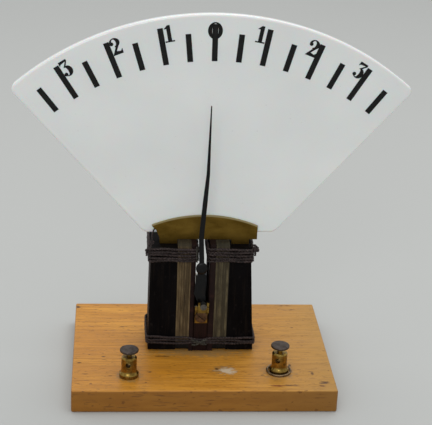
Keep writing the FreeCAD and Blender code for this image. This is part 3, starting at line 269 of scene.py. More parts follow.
# marks on the board: darker rings round the posts, a painted shadow in front of the coil, the pale scar, dark
# flecks;
# each one's middle, half sizes and colour
BOARD_MARKS_AND_SHADOW = [
    ((-39.9, -35.2), (8.6, 8.6), "#9a7440"),
    ((40.7, -30.4), (10.5, 10.5), "#96744a"),
    # a painted shadow on the board in front of the coil's foot
    ((0.0, -8.5), (38.0, 7.5), "#a27b46"),
    ((11.6, -28.8), (9.0, 6.4), "#8d6a3c"),
    ((13.0, -29.4), (7.0, 4.6), "#c7b295"),
    ((7.6, -27.2), (1.6, 1.3), "#4c3018"),
    ((-31.0, -41.5), (1.1, 0.7), "#553512"),
    ((31.5, -34.0), (1.5, 0.7), "#573715"),
    ((46.0, -44.6), (6.5, 1.2), "#5f3c1c"),
    ((64.0, -42.0), (3.2, 2.2), "#54351b"),
    ((58.5, -31.5), (1.3, 2.4), "#5c3b1a"),
    ((-43.4, 20.9), (1.6, 0.7), "#5d3c14"),
    ((-53.6, -13.8), (1.8, 0.8), "#5a3812"),
    ((-21.1, -13.4), (7.0, 0.7), "#6a4416"),
    ((-28.7, -30.5), (1.8, 0.9), "#5f3d15"),
    ((-66.7, -20.7), (1.7, 1.0), "#553511"),
    ((38.1, -45.0), (4.8, 1.5), "#7d4420"),
    ((62.3, -45.4), (2.2, 1.1), "#6b4218"),
    ((57.7, -30.1), (1.8, 0.8), "#674219"),
    ((53.2, 48.0), (6.0, 0.9), "#5b3c1a"),
    ((53.5, 20.4), (1.7, 0.8), "#66431c"),
    ((-68.8, 45.8), (2.0, 2.6), "#5b3a14"),
]


def varnished_beech():
    """Beech under old shellac: honey brown, with short dark flecks along the grain, dull worn places and a
    painted shadow in front of the coil.
    """
    made, tree, shader = finish_named(
        "varnished_beech",
        Roughness=0.42,
        IOR=1.5,
        Specular_IOR_Level=0.3,
        Coat_Weight=0.08,
        Coat_Roughness=0.25,
    )
    broad = mottle(tree, (70, 16, 20), 0.35, 0.65, warp=0.6)
    wood = tint(tree, broad, "#c08127", "#d09338")
    grain = mottle(tree, (26, 1.1, 5), 0.38, 0.62, warp=0.3)
    wood = tint(tree, grain, wood, "#b37824")
    # the varnish is worn greyer towards the right end
    place = add(tree, "ShaderNodeTexCoord").outputs["Object"]
    parts = add(tree, "ShaderNodeSeparateXYZ", {0: place})
    right = add(
        tree,
        "ShaderNodeMapRange",
        {"Value": parts.outputs["X"], "From Min": 15 * MM, "From Max": 70 * MM, "To Min": 0.0, "To Max": 0.7},
    )
    wood = tint(tree, right.outputs[0], wood, "#a5803f")
    # beech's rays: short dark flecks, 2 to 3 mm long
    flecks = mottle(tree, (3.2, 0.55, 2.0), 0.66, 0.72, 1.5)
    wood = tint(tree, flecks, wood, "#6f4718")
    pores = mottle(tree, (9.0, 0.28, 0.9), 0.62, 0.7, 2.0)
    wood = tint(tree, pores, wood, "#7c5222")
    # the marks, and the painted shadow in front of the coil
    for centre, halves, code in BOARD_MARKS_AND_SHADOW:
        wood = tint(tree, spot(tree, centre, halves), wood, code)
    # the sides took more stain and dirt than the top
    facing = add(tree, "ShaderNodeNewGeometry").outputs["Normal"]
    up = add(tree, "ShaderNodeSeparateXYZ", {0: facing})
    side = add(
        tree,
        "ShaderNodeMapRange",
        {"Value": up.outputs["Z"], "From Min": 0.85, "From Max": 0.3, "To Min": 0.0, "To Max": 0.7},
    )
    wood = tint(tree, side.outputs[0], wood, "#6f430c")
    colour(tree, shader, wood)
    gloss(tree, shader, broad, 0.36, 0.52)
    relief(tree, shader, (grain, 0.05), (pores, -0.04))
    return made


def stained_hardwood_in_painted_shade():
    """Hardwood dyed dark red-brown and rubbed with wax, its colour darkened nearly to black as painted shade
    of the slot.
    """
    made, tree, shader = finish_named("stained_hardwood_in_painted_shade", Roughness=0.5, IOR=1.5, Specular_IOR_Level=0.15)
    grain = mottle(tree, (0.6, 3.0, 9.0), 0.35, 0.65)
    # near-black colour: painted shade where the block sits in the slot
    colour(tree, shader, tint(tree, grain, "#130706", "#200d0a"))
    gloss(tree, shader, grain, 0.42, 0.6)
    relief(tree, shader, (grain, 0.04))
    return made


def fibre_board():
    """Pressed fibre board, dyed dark brown: dull, with a fine pressed grain and rubbed edges."""
    made, tree, shader = finish_named("fibre_board", Roughness=0.68, IOR=1.48, Specular_IOR_Level=0.15)
    fibres = mottle(tree, (1.4, 1.4, 0.5), 0.35, 0.65, 4.0)
    worn = mottle(tree, (6, 6, 4), 0.55, 0.75)
    base = tint(tree, fibres, "#150b0a", "#211210")
    colour(tree, shader, tint(tree, worn, base, "#2e1a15"))
    gloss(tree, shader, fibres, 0.58, 0.76)
    relief(tree, shader, (fibres, 0.04))
    return made


def cotton_covered_wire(name, thread, shade):
    """Copper wire under spun cotton, browned with age: matt, with the thread's fine lay across the wire."""
    made, tree, shader = finish_named(name, Roughness=0.8, Specular_IOR_Level=0.3)
    lay = ribs(tree, 0.45, "Z", 2.0)
    patches = mottle(tree, (2.2, 4.0, 6.0), 0.35, 0.7, 4.0)
    base = tint(tree, patches, thread, shade)
    # single turns and groups of turns took the dirt differently
    streaks = mottle(tree, (0.9, 90, 90), 0.4, 0.6, 3.0)
    base = tint(tree, streaks, base, shade)
    dark = mottle(tree, (0.6, 30, 30), 0.62, 0.68, 2.0)
    base = tint(tree, dark, base, "#2a2015")
    # each strip is darkened towards its foot and towards its head
    place = add(tree, "ShaderNodeTexCoord").outputs["Object"]
    parts = add(tree, "ShaderNodeSeparateXYZ", {0: place})
    inputs = {"Value": parts.outputs["Z"]}
    inputs["From Min"], inputs["From Max"] = (height * MM for height in STRIP_FOOT_FADE)
    foot = add(tree, "ShaderNodeMapRange", inputs).outputs[0]
    inputs["From Min"], inputs["From Max"] = (height * MM for height in STRIP_HEAD_FADE)
    inputs["To Max"] = 0.75
    head = add(tree, "ShaderNodeMapRange", inputs).outputs[0]
    base = tint(tree, head, base, "#2c291d")
    base = tint(tree, foot, base, "#0c0a09")
    colour(tree, shader, base)
    gloss(tree, shader, patches, 0.68, 0.88)
    relief(tree, shader, (lay, 0.05))
    return made


def black_book_cloth():
    """Black varnished cotton cloth: a plain weave, nearly filled, with a faint shine on its folds."""
    made, tree, shader = finish_named("black_book_cloth", Roughness=0.6, IOR=1.4, Specular_IOR_Level=0.05)
    # threads of about 0.45 mm, a little coarser than the real ones so that they show
    warp = ribs(tree, 0.45, "Z")
    weft = ribs(tree, 0.45, "Y")
    across = ribs(tree, 0.45, "X")
    patches = mottle(tree, (9, 9, 14), 0.35, 0.7, 4.0)
    dust = mottle(tree, (2.0, 2.0, 3.0), 0.62, 0.8, 4.0)
    base = tint(tree, patches, "#060506", "#0d0b0c")
    streaks = mottle(tree, (1.2, 1.2, 22), 0.55, 0.75, 3.0)
    base = tint(tree, streaks, base, "#17120f")
    colour(tree, shader, tint(tree, dust, base, "#1f1b1a"))
    gloss(tree, shader, patches, 0.5, 0.72)
    relief(tree, shader, (warp, 0.04), (weft, 0.04), (across, 0.04), (patches, 0.15))
    return made


def waxed_twine(name, first, second, fleck):
    """Waxed linen twine: two plies laid together, nearly black, with grey-brown where the wax is rubbed."""
    made, tree, shader = finish_named(name, Roughness=0.5, Specular_IOR_Level=0.25)
    patches = mottle(tree, (5, 5, 3), 0.35, 0.65, 3.0)
    fibres = mottle(tree, (0.5, 0.5, 0.9), 0.45, 0.75, 3.0)
    base = tint(tree, patches, first, second)
    colour(tree, shader, tint(tree, fibres, base, fleck))
    gloss(tree, shader, fibres, 0.45, 0.72)
    relief(tree, shader, (fibres, 0.06))
    return made


def aged_metal(name, colours, low, high, brush, patch):
    """Solid metal, turned or drawn: patches of tarnish, fine tool lines and rubbed places that shine."""
    made, tree, shader = finish_named(name, Metallic=1.0)
    bright, dull, deep = colours
    tarnish = mottle(tree, (patch, patch, patch), 0.35, 0.68, 5.0, 0.4)
    specks = mottle(tree, (0.8, 0.8, 0.8), 0.6, 0.75)
    lines = mottle(tree, brush, 0.35, 0.65)
    base = tint(tree, tarnish, bright, dull)
    colour(tree, shader, tint(tree, specks, base, deep))
    gloss(tree, shader, tarnish, low, high)
    relief(tree, shader, (lines, 0.012), (specks, -0.02))
    return made


def sheet_brass():
    """Sheet brass under old lacquer, gone olive brown, with its upper edge rubbed bright."""
    made, tree, shader = finish_named("aged_sheet_brass", Metallic=1.0)
    tarnish = mottle(tree, (16, 8, 7), 0.35, 0.68, 5.0, 0.4)
    specks = mottle(tree, (0.8, 0.8, 0.8), 0.62, 0.75)
    lines = mottle(tree, (7.0, 0.3, 0.3), 0.35, 0.65)
    base = tint(tree, tarnish, "#7a6029", "#5e4819")
    base = tint(tree, specks, base, "#3a2b10")
    # how far a point lies from the middle of the crown's arc
    place = add(tree, "ShaderNodeTexCoord").outputs["Object"]
    hub = tuple(Vector(CROWN_HUB) * MM)
    from_hub = add(tree, "ShaderNodeVectorMath", {0: place, 1: hub}, operation="SUBTRACT")
    flat = add(tree, "ShaderNodeVectorMath", {0: from_hub.outputs[0], 1: (1, 0, 1)}, operation="MULTIPLY")
    reach = add(tree, "ShaderNodeVectorMath", {0: flat.outputs[0]}, operation="LENGTH")
    inputs = {"Value": reach.outputs["Value"]}
    inputs["From Min"] = (CROWN_RADIUS - RUBBED_FROM) * MM
    inputs["From Max"] = (CROWN_RADIUS - RUBBED_FULL) * MM
    rubbed = add(tree, "ShaderNodeMapRange", inputs)
    colour(tree, shader, tint(tree, rubbed.outputs[0], base, "#a4946a"))
    gloss(tree, shader, tarnish, 0.36, 0.56)
    relief(tree, shader, (lines, 0.012), (specks, -0.02))
    return made


def opal_glass():
    """Milk glass, polished on its face: cool white all through, with a faint cloudiness and a wet shine."""
    made, tree, shader = finish_named(
        "opal_glass",
        IOR=1.5,
        Subsurface_Weight=0.25,
        Subsurface_Scale=0.004,
        Coat_Weight=0.3,
        Coat_Roughness=0.04,
    )
    cloud = mottle(tree, (60, 40, 45), 0.3, 0.7, 2.0)
    dust = mottle(tree, (1.2, 1.2, 1.2), 0.68, 0.8, 4.0)
    base = tint(tree, cloud, "#dce0df", "#e3e7e6")
    colour(tree, shader, tint(tree, dust, base, "#cdd1cf"))
    gloss(tree, shader, dust, 0.09, 0.22)
    return made


def baked_enamel_ink():
    """Black enamel printed and fired on the glass: level, with slightly uneven cover."""
    made, tree, shader = finish_named("baked_enamel_ink", Roughness=0.4, IOR=1.5, Specular_IOR_Level=0.2)
    thin = mottle(tree, (1.6, 1.6, 2.4), 0.5, 0.75, 4.0)
    colour(tree, shader, tint(tree, thin, "#101010", "#1b1b1b"))
    gloss(tree, shader, thin, 0.3, 0.5)
    return made


def japanned_metal(name, base_code, worn_code):
    """Metal under stoved black japan: smooth and dark, with brown rubbed edges."""
    made, tree, shader = finish_named(name, Roughness=0.35, IOR=1.5, Specular_IOR_Level=0.22)
    worn = mottle(tree, (3.0, 3.0, 6.0), 0.55, 0.75, 4.0)
    colour(tree, shader, tint(tree, worn, base_code, worn_code))
    gloss(tree, shader, worn, 0.28, 0.5)
    return made


def vulcanised_rubber():
    """Vulcanised rubber, extruded and gone dull: dark brown-grey with a fine bloom."""
    made, tree, shader = finish_named("vulcanised_rubber", Roughness=0.7, IOR=1.52)
    bloom = mottle(tree, (2.0, 2.0, 2.0), 0.4, 0.7, 4.0)
    colour(tree, shader, tint(tree, bloom, "#1b1715", "#2b2522"))
    gloss(tree, shader, bloom, 0.6, 0.8)
    return made


# the finishes, by the slot that each is for; two slots have a second shade
finishes = {
    "board_wood": varnished_beech(),
    "bearing_wood": stained_hardwood_in_painted_shade(),
    "pressboard": fibre_board(),
    "cotton_wire": cotton_covered_wire("cotton_covered_wire", "#7c6a4b", "#4f412b"),
    "cotton_wire_right": cotton_covered_wire("greyed_cotton_wire", "#6c6248", "#40392a"),
    "wound_core": cotton_covered_wire("inner_cotton_wire", "#4b3c27", "#332818"),
    "black_cloth": black_book_cloth(),
    "lashing_cord": waxed_twine("waxed_twine", "#120d0c", "#211918", "#5a4c4a"),
    "green_twine": waxed_twine("green_grey_twine", "#1d1c18", "#2b2a24", "#66645a"),
    "brass_aged": sheet_brass(),
    "brass_dull": aged_metal(
        "tarnished_turned_brass", ("#a08442", "#5b461f", "#20170b"), 0.2, 0.4, (4.0, 4.0, 0.2), 2.6
    ),
    "screw_copper": aged_metal(
        "screw_copper", ("#6b5440", "#45362a", "#1a130e"), 0.36, 0.6, (0.2, 2.0, 3.0), 2.0
    ),
    "bronzed_head": aged_metal(
        "bronzed_brass", ("#564c46", "#423933", "#241f1b"), 0.3, 0.5, (0.3, 6.0, 0.3), 3.0
    ),
    "steel_bright": aged_metal(
        "turned_steel", ("#6f6e6a", "#504e4a", "#2f2d2a"), 0.35, 0.55, (2.0, 0.2, 2.0), 3.0
    ),
    "magnet_steel": aged_metal(
        "hardened_steel", ("#5d5f63", "#47484b", "#2c2a29"), 0.3, 0.5, (0.2, 0.2, 5.0), 5.0
    ),
    "needle_black": japanned_metal("japanned_needle", "#030304", "#0c0a09"),
    "boss_black": japanned_metal("japanned_boss", "#040405", "#120f0d"),
    "milk_glass": opal_glass(),
    "black_print": baked_enamel_ink(),
    "copper_wire": aged_metal(
        "oxidised_copper_wire", ("#8f7a5e", "#5f4e3b", "#2f251b"), 0.3, 0.5, (0.3, 0.3, 0.3), 2.0
    ),
    "rubber_lead": vulcanised_rubber(),
}


def dress_frame():
    """Give each carried-over node the finish of its own slot, which its material is named for."""
    for node in nodes.values():
        for place in node.material_slots:
            place.material = finishes[place.material.name.split(".")[0]]


def smooth(mesh, limit):
    """Shade a mesh smooth, but for edges sharper than a limit in degrees."""
    mesh.shade_smooth()
    mesh.set_sharp_from_angle(angle=math.radians(limit))


def new_piece(name, mesh, finish, body, *replaced):
    """Enter a finished mesh as a piece that rides on a body and stands for some nodes."""
    mesh.name = name
    mesh.materials.clear()
    mesh.materials.append(finishes[finish])
    made = bpy.data.objects.new(name, mesh)
    bpy.context.scene.collection.objects.link(made)
    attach(made, body)
    if replaced:
        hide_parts(*replaced)
    return made


def as_mesh(curve):
    """The mesh of a curve with its bevel, and the curve's object gone."""
    holder = bpy.data.objects.new("route", curve)
    bpy.context.scene.collection.objects.link(holder)
    bpy.context.view_layer.update()
    mesh = bpy.data.meshes.new_from_object(holder.evaluated_get(bpy.context.evaluated_depsgraph_get()))
    bpy.data.objects.remove(holder)
    return mesh


def tube_mesh(lines, radius, rounds=1):
    """Round tubes along lists of points in millimetres, as one mesh."""
    curve = bpy.data.curves.new("tube", "CURVE")
    curve.dimensions = "3D"
    curve.bevel_depth = radius * MM
    curve.bevel_resolution = rounds
    curve.use_fill_caps = True
    for line in lines:
        spline = curve.splines.new("POLY")
        spline.points.add(len(line) - 1)
        for point, place in zip(spline.points, line):
            point.co = (*(place * MM), 1.0)
    mesh = as_mesh(curve)
    smooth(mesh, 60.0)
    return mesh


def flowing(points, order=4):
    """Points along a smooth line that a few control points, in millimetres, lead."""
    curve = bpy.data.curves.new("lead_line", "CURVE")
    curve.dimensions = "3D"
    curve.resolution_u = 10
    spline = curve.splines.new("NURBS")
    spline.points.add(len(points) - 1)
    for point, place in zip(spline.points, points):
        point.co = (*(Vector(place) * MM), 1.0)
    spline.order_u = order
    spline.use_endpoint_u = True
    mesh = as_mesh(curve)
    return [vertex.co / MM for vertex in mesh.vertices]


def with_frames(points):
    """Each point of a line with the distance to it and two directions across the line."""
    framed = []
    travelled = 0.0
    across = None
    for number, point in enumerate(points):
        after = points[min(number + 1, len(points) - 1)]
        before = points[max(number - 1, 0)]
        heading = (after - before).normalized()
        if across is None:
            across = heading.orthogonal()
        across = (across - heading * across.dot(heading)).normalized()
        if number:
            travelled += (point - points[number - 1]).length
        framed.append((travelled, point, across.copy(), heading.cross(across)))
    return framed


def plies_of(framed, cord_radius, twist):
    """The lines of the two plies that lie round each other along a framed line, and a ply's radius."""
    ply = cord_radius * PLY_SHARE
    lines = []
    for number in range(2):
        line = []
        for travelled, point, first, second in framed:
            angle = 2 * math.pi * (travelled / twist + number / 2)
            line.append(point + (cord_radius - ply) * (math.cos(angle) * first + math.sin(angle) * second))
        lines.append(line)
    return lines, ply


def twisted(lines, cord_radius, twist):
    """The plies of several cords of one size, and a ply's radius."""
    plies = []
    for line in lines:
        pair, ply = plies_of(with_frames(line), cord_radius, twist)
        plies += pair
    return plies, ply


def around(travel, half_a, half_b, corner):
    """A point of a rounded rectangle so far along it, and the way out of it there."""
    runs = [2 * (half_b - corner), 2 * (half_a - corner)] * 2
    bend = math.pi / 2 * corner
    travel %= sum(runs) + 4 * bend
    for side, run in enumerate(runs):
        turn = Matrix.Rotation(math.pi / 2 * side, 2)
        reach, half = (half_a, half_b) if side % 2 == 0 else (half_b, half_a)
        if travel <= run:
            return turn @ Vector((reach, travel - run / 2)), turn @ Vector((1.0, 0.0))
        travel -= run
        if travel <= bend or side == 3:
            swing = min(travel / corner, math.pi / 2)
            out = Vector((math.cos(swing), math.sin(swing)))
            return turn @ (Vector((reach - corner, half - corner)) + corner * out), turn @ out
        travel -= bend


def wound_line(turns, pitch, halves, corner, step, put, wobble):
    """A framed line wound round a rounded rectangle; put places a point of it, given the climb."""
    half_a, half_b = halves
    perimeter = 4 * (half_a + half_b - 2 * corner) + 2 * math.pi * corner
    count = int(turns * perimeter / step)
    framed = []
    for number in range(count + 1):
        travel = number / count * turns * perimeter
        flat, out = around(travel, half_a, half_b, corner)
        turn = travel / perimeter
        drift = noise.noise(Vector((turn * 1.3, flat.x / 9, flat.y / 9))) * wobble
        lift = abs(noise.noise(Vector((flat.x / 5, flat.y / 5, 7.1 + turn)))) * wobble * 0.5
        place, outward, axis = put(flat + out * lift, out, turn * pitch + drift)
        framed.append((travel, place, outward, axis))
    return framed


def bare_windings():
    """The bare strips' cotton-covered wire, in close turns on each half of the coil."""
    for side, middle in BARE_STRIPS.items():
        first = middle - STRIP_PITCH * STRIP_TURNS / 2

        def put(flat, out, climb, first=first):
            place = Vector((first + climb, COIL_MIDDLE_Y + flat.x, WINDING_MIDDLE_Z + flat.y))
            return place, Vector((0, out.x, out.y)), Vector((1, 0, 0))

        framed = wound_line(
            STRIP_TURNS, STRIP_PITCH, STRIP_HALVES, STRIP_CORNER, STRIP_STEP, put, STRIP_WOBBLE
        )
        low = middle - BARE_WIDTH / 2 + STRIP_WIRE_RADIUS
        high = middle + BARE_WIDTH / 2 - STRIP_WIRE_RADIUS
        line = [Vector((min(max(p.x, low), high), p.y, p.z)) for _, p, _, _ in framed]
        mesh = tube_mesh([line], STRIP_WIRE_RADIUS)
        finish = "cotton_wire" if side == "left" else "cotton_wire_right"
        new_piece(f"wound_strip_{side}", mesh, finish, "stand", f"bare_winding_{side}")


def top_lashings():
    """Twine bound five times round the head of each half of the coil."""
    for side, (low, high) in HEAD_SPANS.items():
        middle = (low + high) / 2
        halves = (LASH_HALF_DEPTH, (high - low) / 2)

        def put(flat, out, climb, middle=middle):
            place = Vector((middle + flat.y, COIL_MIDDLE_Y + flat.x, HEAD_LOWEST + climb))
            return place, Vector((out.y, out.x, 0)), Vector((0, 0, 1))

        framed = wound_line(HEAD_TURNS, LASH_PITCH, halves, LASH_CORNER, LASH_STEP, put, HEAD_WOBBLE)
        lines, ply = plies_of(framed, HEAD_CORD_RADIUS, HEAD_TWIST)
        mesh = tube_mesh(lines, ply)
        new_piece(f"head_binding_{side}", mesh, "lashing_cord", "stand", f"top_lashing_{side}")


def foot_lashing():
    """Twine bound three times round the foot of the whole coil, drawn together in front of the slot."""
    low, high = FOOT_SPAN
    middle = (low + high) / 2
    halves = (LASH_HALF_DEPTH, (high - low) / 2)

    def put(flat, out, climb):
        # the middle of the front is drawn together by the twist knot
        near = math.exp(-(((flat.y + middle - DRAWN_X) / DRAWN_REACH) ** 2)) if flat.x < 0 else 0.0
        height = FOOT_LOWEST + climb
        height += (DRAWN_HEIGHT - height) * DRAWN_SHARE * near
        place = Vector((middle + flat.y, COIL_MIDDLE_Y + flat.x, height))
        return place, Vector((out.y, out.x, 0)), Vector((0, 0, 1))

    framed = wound_line(FOOT_TURNS, LASH_PITCH, halves, LASH_CORNER, LASH_STEP, put, FOOT_WOBBLE)
    lines, ply = plies_of(framed, FOOT_CORD_RADIUS, FOOT_TWIST)
    new_piece("foot_binding", tube_mesh(lines, ply), "lashing_cord", "stand", "foot_lashing")


def knotted(centre, size, turn):
    """The open line of an overhand knot, drawn round its centre."""
    points = []
    for number in range(KNOT_STEPS + 1):
        t = KNOT_OPEN + number / KNOT_STEPS * (2 * math.pi - 2 * KNOT_OPEN)
        flat = Vector(
            (
                math.sin(t) + 2 * math.sin(2 * t),
                -math.sin(3 * t) * 1.1,
                math.cos(t) - 2 * math.cos(2 * t),
            )
        )
        points.append(Vector(centre) + turn @ (flat * size / 3))
    return points


def end_knots():
    """The knot that ends each head binding, with its two cut ends."""
    for side, (middle, size, slant) in END_KNOTS.items():
        turn = Matrix.Rotation(slant, 3, "Y") @ Matrix.Rotation(math.pi / 2, 3, "Z")
        knot = knotted(middle, size, turn)
        outwards = Vector((-1 if side == "left" else 1, 1, 1))
        tails = []
        for root, steps in zip((knot[0], knot[-1]), KNOT_TAILS):
            tails.append(flowing([root] + [root + Vector(step) * outwards for step in steps]))
        lines, ply = twisted([knot, *tails], KNOT_CORD_RADIUS, KNOT_TWIST)
        mesh = tube_mesh(lines, ply)
        new_piece(f"binding_knot_{side}", mesh, "lashing_cord", "stand", f"lashing_knot_{side}")


def cloth_covers():
    """Black cloth drawn round the covered windings, its outer edge leaning in towards the head."""
    for side in ("left", "right"):
        low, high = (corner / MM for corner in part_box(f"coil_cover_{side}"))
        shape = bmesh.new()
        bmesh.ops.create_cube(shape, size=1.0)
        bmesh.ops.scale(shape, vec=high - low, verts=shape.verts)
        bmesh.ops.translate(shape, vec=(low + high) / 2, verts=shape.verts)
        long_edges = [e for e in shape.edges if abs(e.verts[0].co.x - e.verts[1].co.x) > 1]
        bmesh.ops.bevel(
            shape,
            geom=long_edges,
            offset=COVER_CORNER,
            segments=5,
            profile=0.5,
            affect="EDGES",
            material=-1,
        )
        ends = [f for f in shape.faces if abs(f.normal.x) > 0.9]
        bmesh.ops.delete(shape, geom=ends, context="FACES_ONLY")
        for axis, strips in COVER_STRIPS:
            for cut in range(1, strips):
                place = Vector()
                place[axis] = low[axis] + (high[axis] - low[axis]) * cut / strips
                normal = Vector()
                normal[axis] = 1.0
                geom = shape.verts[:] + shape.edges[:] + shape.faces[:]
                bmesh.ops.bisect_plane(shape, geom=geom, plane_co=place, plane_no=normal)
        bmesh.ops.recalc_face_normals(shape, faces=shape.faces)
        shape.normal_update()
        inner = high.x if side == "left" else low.x
        for vertex in shape.verts:
            out = vertex.normal.copy()
            out.x = 0
            x, y, height = vertex.co
            # broad folds and fine creases, and the cloth drawn in under the lashings
            folds = noise.noise(Vector((x / 6, y / 7, height / 15)))
            fine = noise.noise(Vector((x / 2.2, y / 3, height / 4)))
            drawn = sum(math.exp(-(((height - middle) / reach) ** 2)) for middle, reach in COVER_DRAWN)
            vertex.co -= out * (0.12 + 0.16 * folds + 0.06 * fine + 0.12 * min(drawn, 1.0))
            share = (height - BOARD_TOP) / (COVER_TOP - BOARD_TOP)
            vertex.co.x += COVER_LEAN[side] * share * (x - inner) / (high.x - low.x)
        bmesh.ops.solidify(shape, geom=shape.faces[:], thickness=COVER_THICKNESS)
        bmesh.ops.recalc_face_normals(shape, faces=shape.faces)
        bmesh.ops.scale(shape, vec=(MM, MM, MM), verts=shape.verts)
        mesh = bpy.data.meshes.new(f"cloth_{side}")
        shape.to_mesh(mesh)
        shape.free()
        smooth(mesh, 40.0)
        made = new_piece(f"cloth_cover_{side}", mesh, "black_cloth", "stand", f"coil_cover_{side}")


def loose_strands():
    """Single strands that the binding leaves: the tie to the holder, the curls and the foot's twist."""
    tie = flowing(
        [
            (-29.7, -5.0, 70.5),
            (-29.9, -7.9, 72.5),
            (-28.9, -8.6, 75.2),
            (-28.4, -5.5, 77.5),
            (-28.2, -2.0, 79.6),
            (-27.9, -0.6, 81.4),
            (-27.2, -0.5, 82.6),
            (-26.6, 0.6, 83.0),
        ]
    )
    eye = knotted((-28.6, -5.3, 77.3), 1.25, Matrix.Rotation(0.4, 3, "Y"))
    lines = twisted([tie], TIE_RADIUS, STRAND_TWIST)[0] + twisted([eye], EYE_RADIUS, STRAND_TWIST)[0]
    new_piece("holder_tie", tube_mesh(lines, TIE_PLY_RADIUS), "lashing_cord", "stand")

    curls = [
        [(-4.2, -8.2, 74.2), (-3.2, -9.0, 75.6), (-1.4, -9.2, 76.0), (-0.6, -8.8, 74.6), (-2.2, -8.6, 73.9)],
        [(-3.9, -7.9, 66.8), (-4.4, -8.6, 70.2), (-4.1, -8.7, 73.0), (-4.5, -8.3, 76.2)],
    ]
    mesh = tube_mesh([flowing(points) for points in curls], CURL_RADIUS)
    new_piece("binding_curls", mesh, "green_twine", "stand")

    twist = [
        [(-5.6, -8.3, 19.9), (-3.4, -9.2, 20.6), (-1.2, -9.5, 18.9), (0.8, -9.1, 17.4), (2.8, -8.3, 17.6)],
        [(-5.2, -8.4, 17.3), (-3.0, -9.5, 17.2), (-1.0, -9.0, 19.2), (1.0, -9.4, 20.6), (3.2, -8.3, 20.0)],
        [(-4.2, -8.9, 18.9), (-1.6, -9.8, 19.9), (0.2, -9.8, 18.2), (1.9, -8.8, 18.9)],
    ]
    lines, ply = twisted([flowing(points) for points in twist], TWIST_RADIUS, STRAND_TWIST)
    new_piece("foot_twist", tube_mesh(lines, ply), "green_twine", "stand")


# the leads' control points under the board, in millimetres
LEAD_ROUTES = {
    "left": [
        (-42.69, -34.85, 3.9),
        (-38.0, -26.06, 3.9),
        (-30.0, -11.07, 3.9),
        (-22.88, 2.28, 3.9),
        (-21.94, 4.04, 3.9),
        (-21.94, 4.04, 5.9),
        (-21.94, 4.04, 12.8),
    ],
    "right": [
        (39.87, -32.22, 3.9),
        (33.0, -21.93, 3.9),
        (25.0, -9.95, 3.9),
        (18.28, 0.11, 3.9),
        (17.17, 1.78, 3.9),
        (17.17, 1.78, 5.9),
        (17.17, 1.78, 12.8),
    ],
}


def leads():
    """The leads in their grooves under the board, from each post's nut up to the coil."""
    for side, points in LEAD_ROUTES.items():
        mesh = tube_mesh([flowing(points, 3)], LEAD_RADIUS, 3)
        new_piece(f"rubber_lead_{side}", mesh, "rubber_lead", "stand", f"lead_{side}")


def round_boss():
    """The small turned boss on the needle, a flattened black ball."""
    low, high = (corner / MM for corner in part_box("needle_boss"))
    shape = bmesh.new()
    bmesh.ops.create_uvsphere(shape, u_segments=40, v_segments=28, radius=1.0)
    # a fuller belly than a ball's, as a nut turned nearly round
    for vertex in shape.verts:
        vertex.co.y = math.copysign(abs(vertex.co.y) ** BOSS_FULLNESS, vertex.co.y)
    half = (high - low) / 2
    bmesh.ops.scale(shape, vec=half * Vector(BOSS_SWELL), verts=shape.verts)
    bmesh.ops.translate(shape, vec=(low + high) / 2, verts=shape.verts)
    bmesh.ops.scale(shape, vec=(MM, MM, MM), verts=shape.verts)
    bmesh.ops.recalc_face_normals(shape, faces=shape.faces)
    mesh = bpy.data.meshes.new("boss")
    shape.to_mesh(mesh)
    shape.free()
    smooth(mesh, 80.0)
    new_piece("turned_boss", mesh, "boss_black", "pointer", "needle_boss")


def islands(shape):
    """The vertices of a shape, grouped by what hangs together."""
    seen = set()
    groups = []
    for start in shape.verts:
        if start in seen:
            continue
        seen.add(start)
        group = [start]
        for vertex in group:
            for edge in vertex.link_edges:
                other = edge.other_vert(vertex)
                if other not in seen:
                    seen.add(other)
                    group.append(other)
        groups.append(group)
    return groups


def fat_numerals():
    """The printed numbers, each drawn a little smaller and fatter from its own corner by the stroke."""
    shape = bmesh.new()
    shape.from_mesh(nodes["scale_numerals"].data)
    bmesh.ops.remove_doubles(shape, verts=shape.verts, dist=0.01 * MM)
    bmesh.ops.recalc_face_normals(shape, faces=shape.faces)
    hub = Vector(NUMERAL_HUB) * MM
    shrink = 1 - NUMERAL_SCALE
    for group in islands(shape):
        middle = sum((v.co for v in group), Vector()) / len(group)
        out = ((middle - hub) * Vector((1, 0, 1))).normalized()
        aside = Vector((out.z, 0, -out.x))
        lean = math.degrees(math.atan2(out.x, out.z))
        far_out = max(v.co.dot(out) for v in group)
        reaches = [v.co.dot(aside) for v in group]
        # the side that touches its stroke stays; the nought keeps its middle
        kept = (max(reaches) + min(reaches)) / 2
        if lean > UPRIGHT:
            kept = max(reaches)
        elif lean < -UPRIGHT:
            kept = min(reaches)
        for vertex in group:
            fat = vertex.normal * Vector((1, 0, 1))
            vertex.co -= out * (vertex.co.dot(out) - far_out) * shrink
            vertex.co -= aside * (vertex.co.dot(aside) - kept) * shrink
            vertex.co += fat * NUMERAL_WEIGHT * MM
    mesh = bpy.data.meshes.new("numerals")
    shape.to_mesh(mesh)
    shape.free()
    new_piece("fat_numerals", mesh, "black_print", "stand", "scale_numerals")


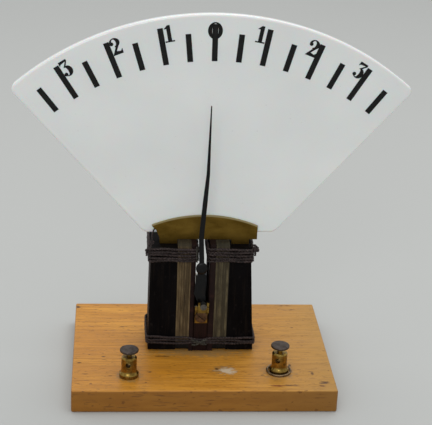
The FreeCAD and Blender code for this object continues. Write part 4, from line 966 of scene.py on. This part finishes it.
def pale_floor():
    """A wide matt floor, which isn't part of the object."""
    paper, _, shader = finish_named("matt_paper", Roughness=0.9)
    shader.inputs["Base Color"].default_value = linear(FLOOR_TONE)
    shape = bmesh.new()
    bmesh.ops.create_grid(shape, x_segments=1, y_segments=1, size=FLOOR_HALF)
    mesh = bpy.data.meshes.new("floor")
    shape.to_mesh(mesh)
    shape.free()
    mesh.materials.append(paper)
    floor = bpy.data.objects.new("floor", mesh)
    bpy.context.scene.collection.objects.link(floor)


def soft_light():
    """An even white surround and two wide lamps."""
    world = bpy.data.worlds.new("studio")
    world.use_nodes = True
    back = world.node_tree.nodes["Background"]
    back.inputs["Color"].default_value = linear("#ffffff")
    back.inputs["Strength"].default_value = WORLD_LIGHT
    bpy.context.scene.world = world
    for name, place, target, size, power in LAMPS:
        data = bpy.data.lights.new(name, "AREA")
        data.shape = "DISK"
        data.size = size
        data.energy = power
        lamp = bpy.data.objects.new(name, data)
        lamp.location = place
        lamp.rotation_euler = (Vector(target) - Vector(place)).to_track_quat("-Z", "Y").to_euler()
        bpy.context.scene.collection.objects.link(lamp)


def photo_camera():
    """The camera, where the photograph was taken from."""
    data = bpy.data.cameras.new("camera")
    data.lens = LENS
    data.sensor_width = SENSOR
    data.sensor_fit = "HORIZONTAL"
    camera = bpy.data.objects.new("camera", data)
    yaw, pitch, roll = (math.radians(a) for a in (CAMERA_YAW, CAMERA_PITCH, CAMERA_ROLL))
    ahead = Vector((math.sin(yaw) * math.cos(pitch), math.cos(yaw) * math.cos(pitch), -math.sin(pitch)))
    level = Vector((math.cos(yaw), -math.sin(yaw), 0))
    above = level.cross(ahead)
    right = level * math.cos(roll) + above * math.sin(roll)
    up = above * math.cos(roll) - level * math.sin(roll)
    turn = Matrix((right, up, -ahead)).transposed().to_4x4()
    camera.matrix_world = Matrix.Translation(Vector(CAMERA_PLACE) * MM) @ turn
    bpy.context.scene.collection.objects.link(camera)
    bpy.context.scene.camera = camera


photo_camera()
dress_frame()
bare_windings()
top_lashings()
foot_lashing()
end_knots()
cloth_covers()
loose_strands()
leads()
round_boss()
fat_numerals()
pale_floor()
soft_light()

bpy.context.scene.view_settings.view_transform = "Standard"
